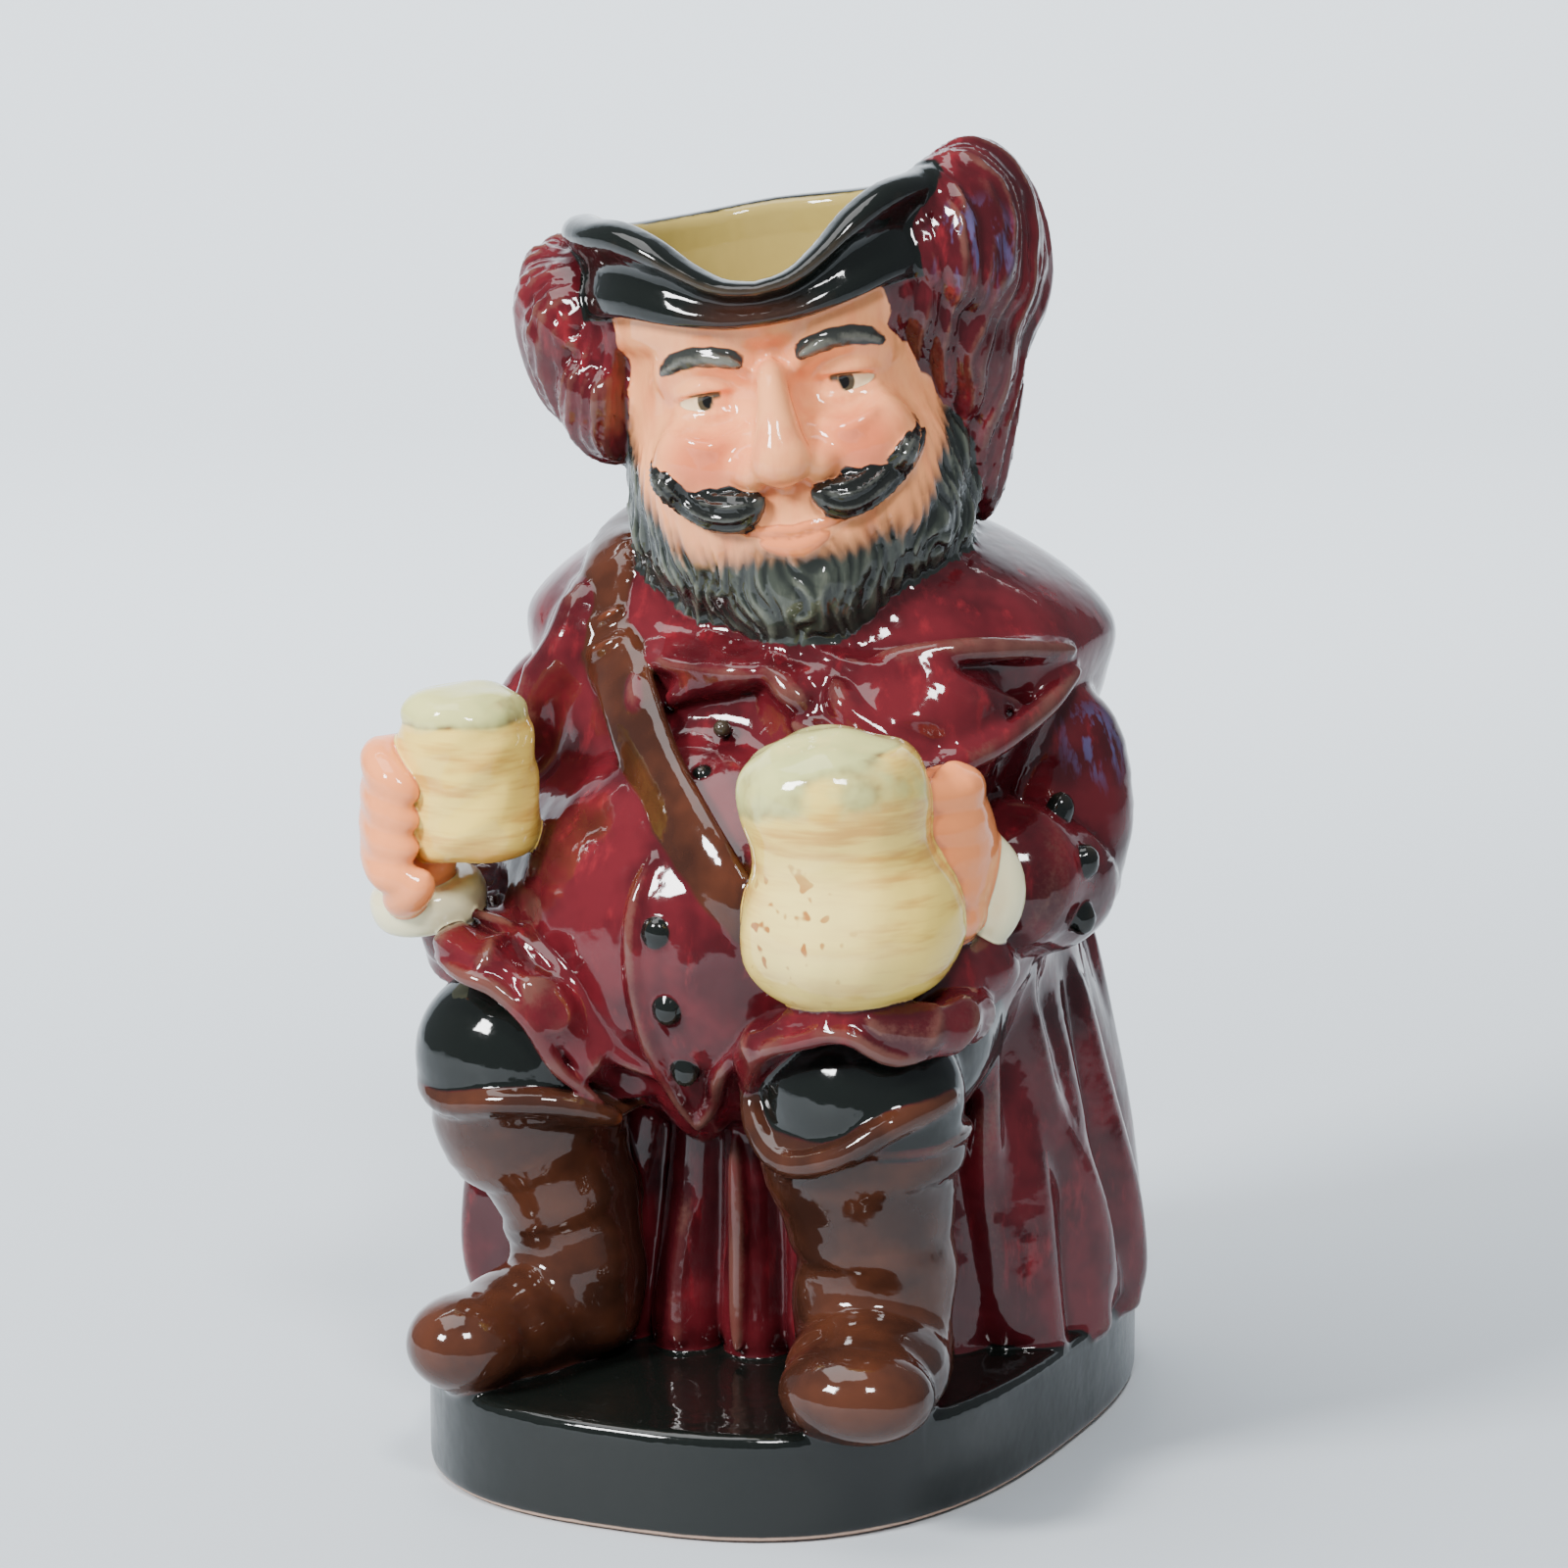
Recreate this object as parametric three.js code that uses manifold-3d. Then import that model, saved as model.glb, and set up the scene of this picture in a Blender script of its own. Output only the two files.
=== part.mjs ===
// A toby jug: a hollow glazed earthenware jug, cast in one piece as a seated stout drinker in a
// plumed hat, with a mug in each hand, on a low oval base. The turned-up hat brim is the jug's mouth.
//
// Millimetres, +Z up. The origin is on the underside, at the middle of the base. The figure faces -Y,
// so +X is its left. Every form below is a closed three.js geometry whose vertices are moved by a
// function of their own place, and the forms are then joined into one solid and hollowed.

import * as THREE from "three";
import { mergeVertices } from "three/addons/utils/BufferGeometryUtils.js";
import Module from "manifold-3d";

const wasm = await Module();
wasm.setup();

// Driving dimensions
const WALL = 5; // thickness of the cast wall
const BASE = { halfWidth: 51, halfDepth: 71.5, height: 17.5, squareness: 2.65, edge: 2 };
const COAT_AXIS_Y = 12; // the coat and the hollow are drawn round this upright axis
const FOLDS = { count: 17, depth: 2, top: 88 };
const BELLY = { centre: [0, -8, 88], half: [46, 45, 36] };
const HEAD = { centre: [0, 0, 170], turn: 20, lean: 9 };
const BRIM = { halfWidth: 30, halfDepth: 30, root: 14, lip: 3.5 };
const HANDLE = { halfWidth: 7, halfThickness: 4.5 };

const DEGREE = Math.PI / 180;
const SIDES = [-1, 1];

// Numbers that change smoothly along a length

// A smooth value at t through [key, value] pairs in rising order of key.
function through(pairs, t) {
  const keys = pairs.map((p) => p[0]);
  const values = pairs.map((p) => p[1]);
  return new THREE.CubicInterpolant(keys, values, 1).evaluate(t)[0];
}

// A smooth value at t from one column of a table whose first column is the key.
function column(table, index, t) {
  return through(
    table.map((row) => [row[0], row[index]]),
    t,
  );
}

const smooth = (from, to, t) => THREE.MathUtils.smoothstep(t, from, to);

// Distance from the middle to a rounded rectangle with the given half sizes, in the direction angle.
function reach(angle, halfWidth, halfDepth, squareness) {
  const x = Math.abs(Math.cos(angle)) / halfWidth;
  const y = Math.abs(Math.sin(angle)) / halfDepth;
  return (x ** squareness + y ** squareness) ** (-1 / squareness);
}

// Closed forms

// A closed geometry as a solid that can be joined and cut.
function solid(geometry) {
  const bare = geometry.index ? geometry.toNonIndexed() : geometry;
  bare.deleteAttribute("normal");
  bare.deleteAttribute("uv");
  const merged = mergeVertices(bare, 1e-4);
  return new wasm.Manifold(
    new wasm.Mesh({
      numProp: 3,
      vertProperties: merged.attributes.position.array,
      triVerts: new Uint32Array(merged.index.array),
    }),
  );
}

// Moves each vertex of a geometry to place(vertex).
function moved(geometry, place) {
  const position = geometry.attributes.position;
  const vertex = new THREE.Vector3();
  for (let i = 0; i < position.count; i++) {
    position.setXYZ(i, ...place(vertex.fromBufferAttribute(position, i)));
  }
  return geometry;
}

// A sphere of radius 1 with its poles on Z, each of whose points p goes to place(p).
function ball(place, around, rings) {
  return solid(moved(new THREE.SphereGeometry(1, around, rings).rotateX(Math.PI / 2), place));
}

// How far a point of the unit sphere moves off its upright axis, so that the sphere's ends grow blunt
// and every second facet stands out by the share locks.
function swelling(p, around, blunt, locks) {
  const ring = Math.hypot(p.x, p.y);
  const facet = Math.round((Math.atan2(p.y, p.x) / (2 * Math.PI)) * around);
  const lock = facet % 2 ? 1 : 1 + locks;
  return ring < 1e-6 ? 0 : (lock * (1 - Math.abs(p.z) ** blunt) ** 0.5) / ring;
}

// An upright ellipsoid with the given half sizes. Its locks are ridges from end to end.
function egg([cx, cy, cz], [a, b, c], { around = 6, rings = 4, blunt = 2, locks = 0 } = {}) {
  return ball(
    (p) => {
      const out = swelling(p, around, blunt, locks);
      return [cx + p.x * a * out, cy + p.y * b * out, cz + p.z * c];
    },
    around,
    rings,
  );
}

// A drum of radius 1 from height 0 to 1: each point goes to place(angle, share of radius, height).
function drum(place, around, rings) {
  const form = new THREE.CylinderGeometry(1, 1, 1, around, rings).rotateX(Math.PI / 2);
  return solid(
    moved(form, (p) => place(Math.atan2(p.y, p.x), Math.min(1, Math.hypot(p.x, p.y)), p.z + 0.5)),
  );
}

// A limb along a smooth curve, with blunt ends. Each station is [x, y, z, half size across, half size
// out], where out is the side that faces, and across is used for both where out is left off.
function limb(stations, { around = 8, rings = 5, facing = [0, -1, 0], blunt = 4, locks = 0 } = {}) {
  const curve = new THREE.CatmullRomCurve3(stations.map(([x, y, z]) => new THREE.Vector3(x, y, z)));
  const side = new THREE.Vector3(...facing);
  const sizes = stations.map(([, , , across, out = across], i) => [i / (stations.length - 1), across, out]);
  return ball(
    (p) => {
      const t = (1 - p.z) / 2;
      const swell = swelling(p, around, blunt, locks);
      const tangent = curve.getTangent(t);
      const across = new THREE.Vector3().crossVectors(tangent, side).normalize();
      const out = new THREE.Vector3().crossVectors(across, tangent).normalize();
      return curve
        .getPoint(t)
        .addScaledVector(across, p.x * swell * column(sizes, 1, t))
        .addScaledVector(out, p.y * swell * column(sizes, 2, t))
        .toArray();
    },
    around,
    rings,
  );
}

// A turned form about the line from foot to head: outline gives [share of the length, radius].
function turned(foot, head, outline, around) {
  const axis = new THREE.Vector3(...head).sub(new THREE.Vector3(...foot));
  const profile = [[outline[0][0], 0], ...outline, [outline[outline.length - 1][0], 0]];
  const points = profile.map(([t, r]) => new THREE.Vector2(r, t * axis.length()));
  const upright = new THREE.Vector3(0, 1, 0);
  const turn = new THREE.Quaternion().setFromUnitVectors(upright, axis.normalize());
  return solid(new THREE.LatheGeometry(points, around).applyQuaternion(turn).translate(...foot));
}

const joined = (solids) => solids.reduce((whole, part) => whole.add(part));

// The largest body of a form. Gaps sealed in between joined forms are bodies too, so this fills them.
function outerSkin(form) {
  return form.decompose().reduce((most, body) => (body.volume() > most.volume() ? body : most));
}

// Places in the head's own frame, where -Y is the face's front, are turned and leaned with the head.
const headTurn = new THREE.Matrix4()
  .makeRotationZ(HEAD.turn * DEGREE)
  .multiply(new THREE.Matrix4().makeRotationY(-HEAD.lean * DEGREE))
  .setPosition(...HEAD.centre);

const onHead = (form) => form.transform(headTurn.elements);

// The base

function base() {
  const edge = BASE.edge;
  const outline = [
    [0, edge / 2],
    [edge, 0],
    [BASE.height - edge, 0],
    [BASE.height, edge],
  ];
  const steps = outline.length - 1;
  return drum(
    (angle, share, height) => {
      const [z, inset] = outline[Math.round(height * steps)];
      const r = share * (reach(angle, BASE.halfWidth, BASE.halfDepth, BASE.squareness) - inset);
      return [r * Math.cos(angle), r * Math.sin(angle), z];
    },
    34,
    steps,
  );
}

// The coat, from its hem on the base to the neck: [height, half width, reach forward, reach back]
const COAT = [
  [15, 51, 32, 55],
  [38, 49.2, 30, 51.5],
  [62, 45.2, 30, 46.5],
  [86, 41, 36, 40],
  [110, 42.5, 43, 37],
  [125, 47.8, 38.5, 34.5],
  [135.5, 48.6, 34, 31],
  [143.5, 40, 28.5, 25.5],
  [150, 27, 22, 20],
];

// Distance from the coat's axis to its cloth, in the direction angle at height z.
function coatReach(angle, z) {
  const depth = column(COAT, Math.sin(angle) < 0 ? 2 : 3, z);
  return reach(angle, column(COAT, 1, z), depth, 2.5);
}

// Long folds that deepen towards the hem, unevenly spaced round the coat.
function coatFold(angle, z) {
  const wave = Math.cos(FOLDS.count * angle + 1.3 * Math.sin(3 * angle) + 0.012 * z);
  return FOLDS.depth * (1 - smooth(30, FOLDS.top, z)) * wave;
}

function coat() {
  const steps = COAT.length - 1;
  return drum(
    (angle, share, height) => {
      const z = COAT[Math.round(height * steps)][0];
      const r = share * (coatReach(angle, z) + coatFold(angle, z));
      return [r * Math.cos(angle), COAT_AXIS_Y + r * Math.sin(angle), z];
    },
    44,
    steps,
  );
}

// The cloak where it hangs beside the right boot, and its folds between the legs.
function cloak() {
  const besideBoot = limb([
    [-44, -17, 15, 9.5],
    [-42.5, -14, 45, 8.8],
    [-38, -4, 84, 5],
  ]);
  const folds = [-17, -6, 5, 16].map((x, i) =>
    limb(
      [
        [x * 1.15, -25 - 2 * (i % 2), 15, 6.5, 8],
        [x, -24, 38, 5.5, 7],
        [x * 0.8, -22, 64, 5, 7],
      ],
      { around: 6, rings: 4, blunt: 8 },
    ),
  );
  return joined([besideBoot, ...folds]);
}

// The belly under the coat front, with the coat's edge hanging to a point between the knees.
function belly() {
  const point = limb(
    [
      [1, -42, 74, 9, 6],
      [0, -38, 64, 7, 5],
      [-1, -31, 54, 3, 3],
    ],
    { around: 6 },
  );
  return egg(BELLY.centre, BELLY.half, { around: 18, rings: 10 }).add(point);
}

// The place on the belly's surface at the given x and height.
function onBelly(x, z, out = 0) {
  const [cx, cy, cz] = BELLY.centre;
  const [a, b, c] = BELLY.half;
  const left = 1 - ((x - cx) / a) ** 2 - ((z - cz) / c) ** 2;
  return [x, cy - b * Math.sqrt(left) - out, z];
}

function buttons() {
  const chest = [
    [4, -25, 129],
    [1.5, -30, 122],
    [0.5, -35.5, 115.5],
  ];
  const low = [onBelly(0, 93), onBelly(1.5, 80.5), onBelly(2.5, 69.5)];
  return joined([
    ...chest.map((at) => egg(at, [1.8, 2.2, 1.8], { rings: 3 })),
    ...low.map((at) => egg(at, [2.4, 1.6, 2.4], { rings: 3 })),
  ]);
}

// The shoulder belt, from the right shoulder across the belly to under the large mug.
function belt() {
  const route = [[-31, -1, 144], [-26, -15, 136], [-18, -26, 127], [-8, -36.5, 116]];
  const low = [onBelly(2, 108), onBelly(10, 100), onBelly(17, 91)];
  const stations = [...route, ...low].map((at) => [...at, 5.6, 1.8]);
  return limb(stations, { around: 6, rings: 11, facing: [-0.3, -1, 0.4], blunt: 12 });
}

// The front of the cape over the left arm, its hem, and the collar.
function cape() {
  const front = limb(
    [
      [6, -22, 125, 9, 8],
      [26, -23, 123, 10, 8],
      [43, -13, 122, 11, 8],
    ],
    { rings: 4 },
  );
  const hem = limb(
    [
      [12, -33, 119, 3],
      [28, -33, 115, 3.4],
      [42, -25, 115, 3.6],
      [50, -9, 123, 3.6],
      [53, 5, 132, 3.4],
    ],
    { around: 6, rings: 7, blunt: 8 },
  );
  const collar = egg([4, -3, 131], [33, 27.5, 5], { around: 16 });
  return joined([front, hem, collar]);
}

// The arms, and what each hand holds

function rightArm() {
  const sleeve = limb(
    [
      [-44, 7, 126, 11],
      [-46, 1, 109, 11],
      [-45, -13, 92, 11],
      [-43, -30, 84, 9.5],
      [-44.5, -40, 90, 8],
    ],
    { rings: 7 },
  );
  const cuff = turned(
    [-45, -40.5, 85.5],
    [-46.3, -42.5, 94.5],
    [
      [0, 7.6],
      [0.2, 8.8],
      [0.8, 8.8],
      [1, 7.4],
    ],
    10,
  );
  const palm = limb([
    [-46.5, -42.5, 92, 6, 6],
    [-47.5, -44.5, 104, 8, 7.5],
    [-45.5, -45, 120, 6, 6],
  ]);
  const fingers = [0, 1, 2].map((i) => {
    const z = 115.5 - 6.4 * i;
    return limb(
      [
        [-53, -46, z - 3.5, 3.2],
        [-49, -52.5, z, 3.6],
        [-41, -54.5, z + 2.5 - i, 3.2],
      ],
      { around: 5, rings: 4 },
    );
  });
  const thumb = limb(
    [
      [-47, -49, 98, 3.4],
      [-42.5, -53, 101, 3.6],
      [-38.5, -54, 105.5, 3],
    ],
    { around: 6, rings: 4 },
  );
  return joined([sleeve, cuff, palm, ...fingers, thumb]);
}

function smallMug() {
  const outline = [
    [0, 9],
    [0.06, 10],
    [0.5, 10.7],
    [0.84, 10.3],
    [0.93, 9],
    [1, 5],
  ];
  return turned([-36, -43.5, 100.5], [-38.4, -43.8, 128.5], outline, 12);
}

function leftArm() {
  const sleeve = limb(
    [
      [43.5, 7, 126, 11],
      [45.5, 8, 111, 11],
      [44.5, 3, 97, 12.5],
      [44, -11, 97.5, 12.5],
      [43, -21, 100, 11.5],
    ],
    { rings: 7 },
  );
  const cuff = turned(
    [44, -20, 99],
    [41.5, -29, 101],
    [
      [0, 10.6],
      [0.2, 11.4],
      [0.8, 11.4],
      [1, 10],
    ],
    10,
  );
  const palm = limb([
    [41, -28, 93, 6, 8],
    [41.5, -30.5, 106, 7, 9],
    [38.5, -31, 119, 6, 8],
  ]);
  const fingers = [0, 1, 2, 3].map((i) => {
    const z = 118.5 - 6.6 * i;
    return limb(
      [
        [44.5, -29, z, 3.4],
        [45.5, -36.5, z - 0.5, 3.6],
        [41.5 + 0.8 * i, -42, z - 1, 3.2],
      ],
      { around: 5, rings: 4 },
    );
  });
  const sleeveButtons = [
    [50.2, -6, 108.4],
    [55.6, -8.5, 100.8],
    [55.2, -9, 91.5],
  ].map((at) => egg(at, [2.4, 2.6, 2.8], { rings: 3 }));
  return joined([sleeve, cuff, palm, ...fingers, ...sleeveButtons]);
}

function largeMug() {
  const outline = [
    [0, 10.5],
    [0.06, 14],
    [0.17, 17.2],
    [0.3, 18.3],
    [0.44, 17.4],
    [0.56, 15.4],
    [0.82, 15.4],
    [0.92, 13.4],
    [1, 6],
  ];
  return turned([33.5, -48, 83.5], [28.5, -50, 128.5], outline, 16);
}

// The legs, in breeches and wide boots with a turned edge at the knee
const LEGS = [
  { knee: [-30, -43, 68], cuff: [-27, -40, 59], ankle: [-22, -37, 38], toe: [-30, -64, 24.5], narrow: 11 },
  { knee: [31.5, -43, 68], cuff: [30, -40, 60], ankle: [31.5, -38, 38], toe: [39, -64, 24.5], narrow: 13 },
];

function leg({ knee, cuff, ankle, toe, narrow }) {
  const side = Math.sign(knee[0]);
  const thigh = limb([
    [side * 20, 0, 73, 18],
    [side * 27, -22, 75, 18],
    [...knee, 15.5],
  ]);
  const kneecap = egg(knee, [16.5, 14, 15], { around: 8, rings: 5 });
  const boot = limb(
    [
      [knee[0], knee[1] + 2, knee[2] - 2, 17, 16],
      [cuff[0], cuff[1], cuff[2] - 3, 16.5, 15],
      [(cuff[0] + ankle[0]) / 2, (cuff[1] + ankle[1]) / 2, 49, narrow + 1.5, 13],
      [...ankle, narrow, 12],
      [ankle[0], ankle[1] - 1, 17, narrow + 0.5, 11.5],
    ],
    { around: 10, rings: 5, blunt: 14 },
  );
  const foot = limb(
    [
      [ankle[0], ankle[1] + 7, 25, 10.5, 9],
      [(ankle[0] + toe[0]) / 2, ankle[1] - 9, 25, 10, 9.5],
      [...toe, 9.5, 8],
    ],
    { rings: 5, facing: [0, 0, 1], blunt: 3 },
  );
  const edge = egg(cuff, [18.8, 17.6, 2.8], { around: 11 });
  return joined([thigh, kneecap, boot, foot, edge]);
}

// The folded edge of the coat where it lies over each thigh.
function hems() {
  const right = limb(
    [
      [-41, -42, 87, 5, 4.5],
      [-37, -50, 83, 6.5, 5],
      [-26, -56, 76, 7, 4.5],
      [-15, -50, 67, 6, 4.5],
      [-9, -42, 60, 4, 4],
    ],
    { around: 6, rings: 8 },
  );
  const left = limb(
    [
      [12, -44, 66, 4],
      [19, -53, 75, 4.5],
      [33, -58, 79, 5, 4.5],
      [46, -49, 80, 6, 5],
      [47, -32, 80, 6, 5],
    ],
    { around: 6, rings: 8 },
  );
  return right.add(left);
}

// The head, in its own frame

function head() {
  const skull = egg([0, 2, 2], [27, 27.5, 32], { around: 14, rings: 6 });
  const beard = egg([0, -3, -14], [28, 27.5, 22.5], { around: 18, rings: 6, blunt: 3, locks: 0.03 });
  const nose = limb(
    [
      [0, -27, 10, 3, 4],
      [0, -30.5, 1, 3.8, 4.5],
      [0, -33, -5, 6, 5],
    ],
    { around: 6, rings: 4 },
  );
  const lips = egg([0, -28.5, -15.5], [7, 4, 2.2], { rings: 3 });
  const sides = SIDES.flatMap((side) => [
    egg([side * 13, -24, -3], [8, 6, 6.5]),
    egg([side * 10, -24.2, 5.5], [4.6, 3.6, 3], { rings: 3 }),
    limb(
      [
        [side * 3, -29.5, -9.5, 2.4],
        [side * 11, -31, -12, 3.2],
        [side * 18.5, -26.5, -7, 2.4],
        [side * 22, -21, 0, 1],
      ],
      { around: 5 },
    ),
  ]);
  return joined([skull, beard, nose, lips, ...sides]);
}

// Height of the brim's rim above the head's middle: [degrees from the front, height]
const RIM = [
  [0, 24],
  [10, 25],
  [20, 28],
  [32, 32.5],
  [45, 35.3],
  [65, 36],
  [90, 35.8],
  [120, 32],
  [150, 30.8],
  [180, 31],
];

function rimHeight(angle) {
  const fromFront = Math.acos(-Math.sin(angle)) / DEGREE;
  return column(RIM, 1, fromFront);
}

// The turned-up brim: [share of the way from root to rim, how far it stands out from the rim line]
function hat() {
  const profile = [
    [0, -3],
    [0.4, 0.8],
    [0.85, 2.2],
    [1, 0],
  ];
  const steps = profile.length - 1;
  return drum(
    (angle, share, height) => {
      const [rise, out] = profile[Math.round(height * steps)];
      const r = share * (reach(angle, BRIM.halfWidth, BRIM.halfDepth, 2) + out);
      const z = BRIM.root + (rimHeight(angle) - BRIM.root) * rise * (height === 1 ? share : 1);
      return [r * Math.cos(angle), r * Math.sin(angle), z];
    },
    32,
    steps,
  );
}

// The plumes that wrap the hat's sides. The left one is fuller and ends in a tail by the beard.
function plumes() {
  const right = limb(
    [
      [-20, -15, 26, 11, 5],
      [-31, -9, 22, 14, 7.5],
      [-34, 4, 17, 16, 8],
      [-31, 18, 12, 13, 7],
      [-19, 26, 9, 8, 4],
    ],
    { around: 12, rings: 7, facing: [-1, 0, 0], locks: 0.07 },
  );
  const left = limb(
    [
      [21, -13, 28, 11, 6],
      [32, -8, 25, 15, 9],
      [35.5, 5, 20, 17.5, 9.5],
      [32, 20, 14, 14, 8],
      [19, 28, 10, 8, 4],
    ],
    { around: 12, rings: 7, facing: [1, 0, 0], locks: 0.07 },
  );
  const rightTail = limb([
    [-30, -6, 18, 6, 11],
    [-31, -4, 6, 6, 9],
    [-28.5, -2, -5, 3, 5],
  ]);
  const leftTail = limb(
    [
      [34, -4, 20, 8, 13],
      [33, 0, 4, 6.5, 11],
      [30, 1, -10, 5, 8],
      [28.5, 0, -23, 3, 4],
    ],
    { rings: 6 },
  );
  return joined([right, left, rightTail, leftTail]);
}

// The hair at the back of the head, down to the collar.
function hair() {
  return egg([0, 10, -8], [26, 22, 26], { around: 12, rings: 5, locks: 0.04 });
}

// The handle behind, from under the hat to the coat's back.
function handle() {
  const route = [
    [0, 23, 175],
    [0, 42, 183],
    [0, 60, 172],
    [0, 66, 150],
    [0, 61, 124],
    [0, 44, 105],
  ];
  const stations = route.map((at) => [...at, HANDLE.halfWidth, HANDLE.halfThickness]);
  return limb(stations, { rings: 11, facing: [0, 1, 0.2], blunt: 10 });
}

// The hollow of the body: [height, half width, reach forward, reach back]
const HOLLOW = [
  [7, 43, 20, 46],
  [35, 41, 22, 44],
  [60, 38, 28, 40],
  [80, 36, 42, 35],
  [98, 35, 46, 32],
  [115, 35, 37, 31],
  [126, 33, 29, 27],
  [136, 25, 26, 20],
  [146, 20, 28, 11],
  [158, 19, 31, 8],
];

function bodyHollow() {
  const low = HOLLOW[0][0];
  const high = HOLLOW[HOLLOW.length - 1][0];
  return drum(
    (angle, share, height) => {
      const z = low + (high - low) * height;
      const deep = column(HOLLOW, Math.sin(angle) < 0 ? 2 : 3, z);
      const r = share * reach(angle, column(HOLLOW, 1, z), deep, 2.2);
      return [r * Math.cos(angle), COAT_AXIS_Y + r * Math.sin(angle), z];
    },
    18,
    8,
  );
}

// The hollow of the head, and the mouth inside the brim, whose wall thins to the lip.
function headHollow() {
  const skull = egg([0, 1, -3], [21.5, 21.5, 23], { around: 12, rings: 6 });
  const low = 2;
  const high = 48;
  const mouth = drum(
    (angle, share, height) => {
      const wall = WALL + (BRIM.lip - WALL) * height;
      const throat = 0.8 + 0.2 * Math.min(1, height * 2);
      const r = share * reach(angle, BRIM.halfWidth - wall, BRIM.halfDepth - wall, 2) * throat;
      return [r * Math.cos(angle), r * Math.sin(angle), low + (high - low) * height];
    },
    20,
    2,
  );
  return onHead(skull.add(mouth));
}

// The whole jug

function jug() {
  const figure = joined([
    base(),
    coat(),
    cloak(),
    belly(),
    belt(),
    buttons(),
    cape(),
    rightArm(),
    smallMug(),
    leftArm(),
    largeMug(),
    ...LEGS.map(leg),
    hems(),
    onHead(joined([head(), hair(), hat(), plumes()])),
    handle(),
  ]);
  return outerSkin(figure).subtract(bodyHollow()).subtract(headHollow());
}

function meshOf(name, form, finish) {
  const { vertProperties, triVerts } = form.getMesh();
  const geometry = new THREE.BufferGeometry();
  geometry.setAttribute("position", new THREE.BufferAttribute(vertProperties, 3));
  geometry.setIndex(new THREE.BufferAttribute(triVerts, 1));
  geometry.computeVertexNormals();
  const mesh = new THREE.Mesh(geometry, new THREE.MeshStandardMaterial(finish));
  mesh.name = name;
  return mesh;
}

const tobyJug = new THREE.Group();
tobyJug.add(meshOf("jug", jug(), { color: 0x5c1420, roughness: 0.12, metalness: 0 }));

export default tobyJug;
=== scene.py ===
"""A glazed toby jug, sculpted as one body of clay and painted under a clear gloss glaze.

The clay is a field of distances, in millimetres, on a fine grid. Each form joins it with a soft crease,
the hollow is cut out, and the skin of the field becomes one mesh. Every vertex keeps its distance to the
edge of each painted area, so that the material can draw the painter's edges finely.

The figure faces -Y, so +X is its left, and the origin is on the underside, as in the frame.
"""

import math

import bpy
import numpy as np
import openvdb
from mathutils import Matrix, Vector


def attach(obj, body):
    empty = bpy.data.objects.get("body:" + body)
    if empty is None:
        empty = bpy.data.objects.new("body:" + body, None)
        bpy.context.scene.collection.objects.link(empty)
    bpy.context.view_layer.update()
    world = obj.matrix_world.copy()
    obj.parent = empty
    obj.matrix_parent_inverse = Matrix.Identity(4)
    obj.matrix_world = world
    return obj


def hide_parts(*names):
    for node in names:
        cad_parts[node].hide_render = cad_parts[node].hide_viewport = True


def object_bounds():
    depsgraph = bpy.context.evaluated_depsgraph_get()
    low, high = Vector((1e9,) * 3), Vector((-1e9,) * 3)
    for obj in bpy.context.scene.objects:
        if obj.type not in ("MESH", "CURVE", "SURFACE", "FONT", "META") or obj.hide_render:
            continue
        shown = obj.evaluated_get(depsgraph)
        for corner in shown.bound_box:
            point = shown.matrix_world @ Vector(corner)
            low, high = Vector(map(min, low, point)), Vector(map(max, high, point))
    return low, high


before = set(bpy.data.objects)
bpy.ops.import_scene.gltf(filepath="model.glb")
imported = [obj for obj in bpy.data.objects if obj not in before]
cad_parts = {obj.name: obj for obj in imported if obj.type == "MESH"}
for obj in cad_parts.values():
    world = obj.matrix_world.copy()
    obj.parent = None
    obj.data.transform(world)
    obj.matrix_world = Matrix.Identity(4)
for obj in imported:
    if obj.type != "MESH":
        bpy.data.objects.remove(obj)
cad_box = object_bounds()

MM = 0.001

# The clay's grid, in millimetres: its pitch, its room under the base, and how far a distance is kept
VOXEL = 0.6
UNDER = 4.0
BAND = 3.0
FAR = 50.0
TRIANGLES = 196000

# How finely a smooth run of numbers and each stretch of a limb are cut up
RUN_SAMPLES = 240
STRETCH_PIECES = 4
TINY = 1e-3

# The waves in a ripple: how many, their least and most size as shares, and what scales their sum
WAVES = {"count": 5, "sizes": (0.7, 1.5), "sum": 2.4}

# How far from its forms a vertex looks for paints, and the most that a margin says, in millimetres
PAINT_ROOM = 4.0
NO_PAINT = 9.0
MOST_MARGIN = 6
MOST_BEARD = 12

# The jug's sizes, in millimetres
WALL = 5.0
WAIST = 60.0
BASE = {"half_width": 51, "half_depth": 71.5, "height": 17.5, "squareness": 2.65, "edge": 2.2}
COAT_AXIS_Y = 12
FOLDS = {"count": 17, "depth": 2.2, "top": 88}
BELLY = {"centre": (0, -8, 88), "half": (46, 45, 36)}
HEAD = {"centre": (0, 0, 170), "turn": 20, "lean": 9}
BRIM = {"radius": 30, "lip": 3.5}
HANDLE = {"half_width": 7, "half_thickness": 4.5}


# Numbers that change smoothly along a length


def smooth_run(keys, values):
    """A function of t that passes smoothly through the values at the keys."""
    keys, values = np.asarray(keys, float), np.asarray(values, float)
    slopes = np.gradient(values, keys)
    fine = np.linspace(keys[0], keys[-1], RUN_SAMPLES)
    i = np.clip(np.searchsorted(keys, fine, side="right") - 1, 0, len(keys) - 2)
    gap = keys[i + 1] - keys[i]
    s = (fine - keys[i]) / gap
    start, end = (1 + 2 * s) * (1 - s) ** 2, s * s * (3 - 2 * s)
    leave, arrive = s * (1 - s) ** 2 * gap, s * s * (s - 1) * gap
    table = start * values[i] + end * values[i + 1] + leave * slopes[i] + arrive * slopes[i + 1]
    return lambda t: np.interp(t, fine, table).astype(np.float32)


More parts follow.
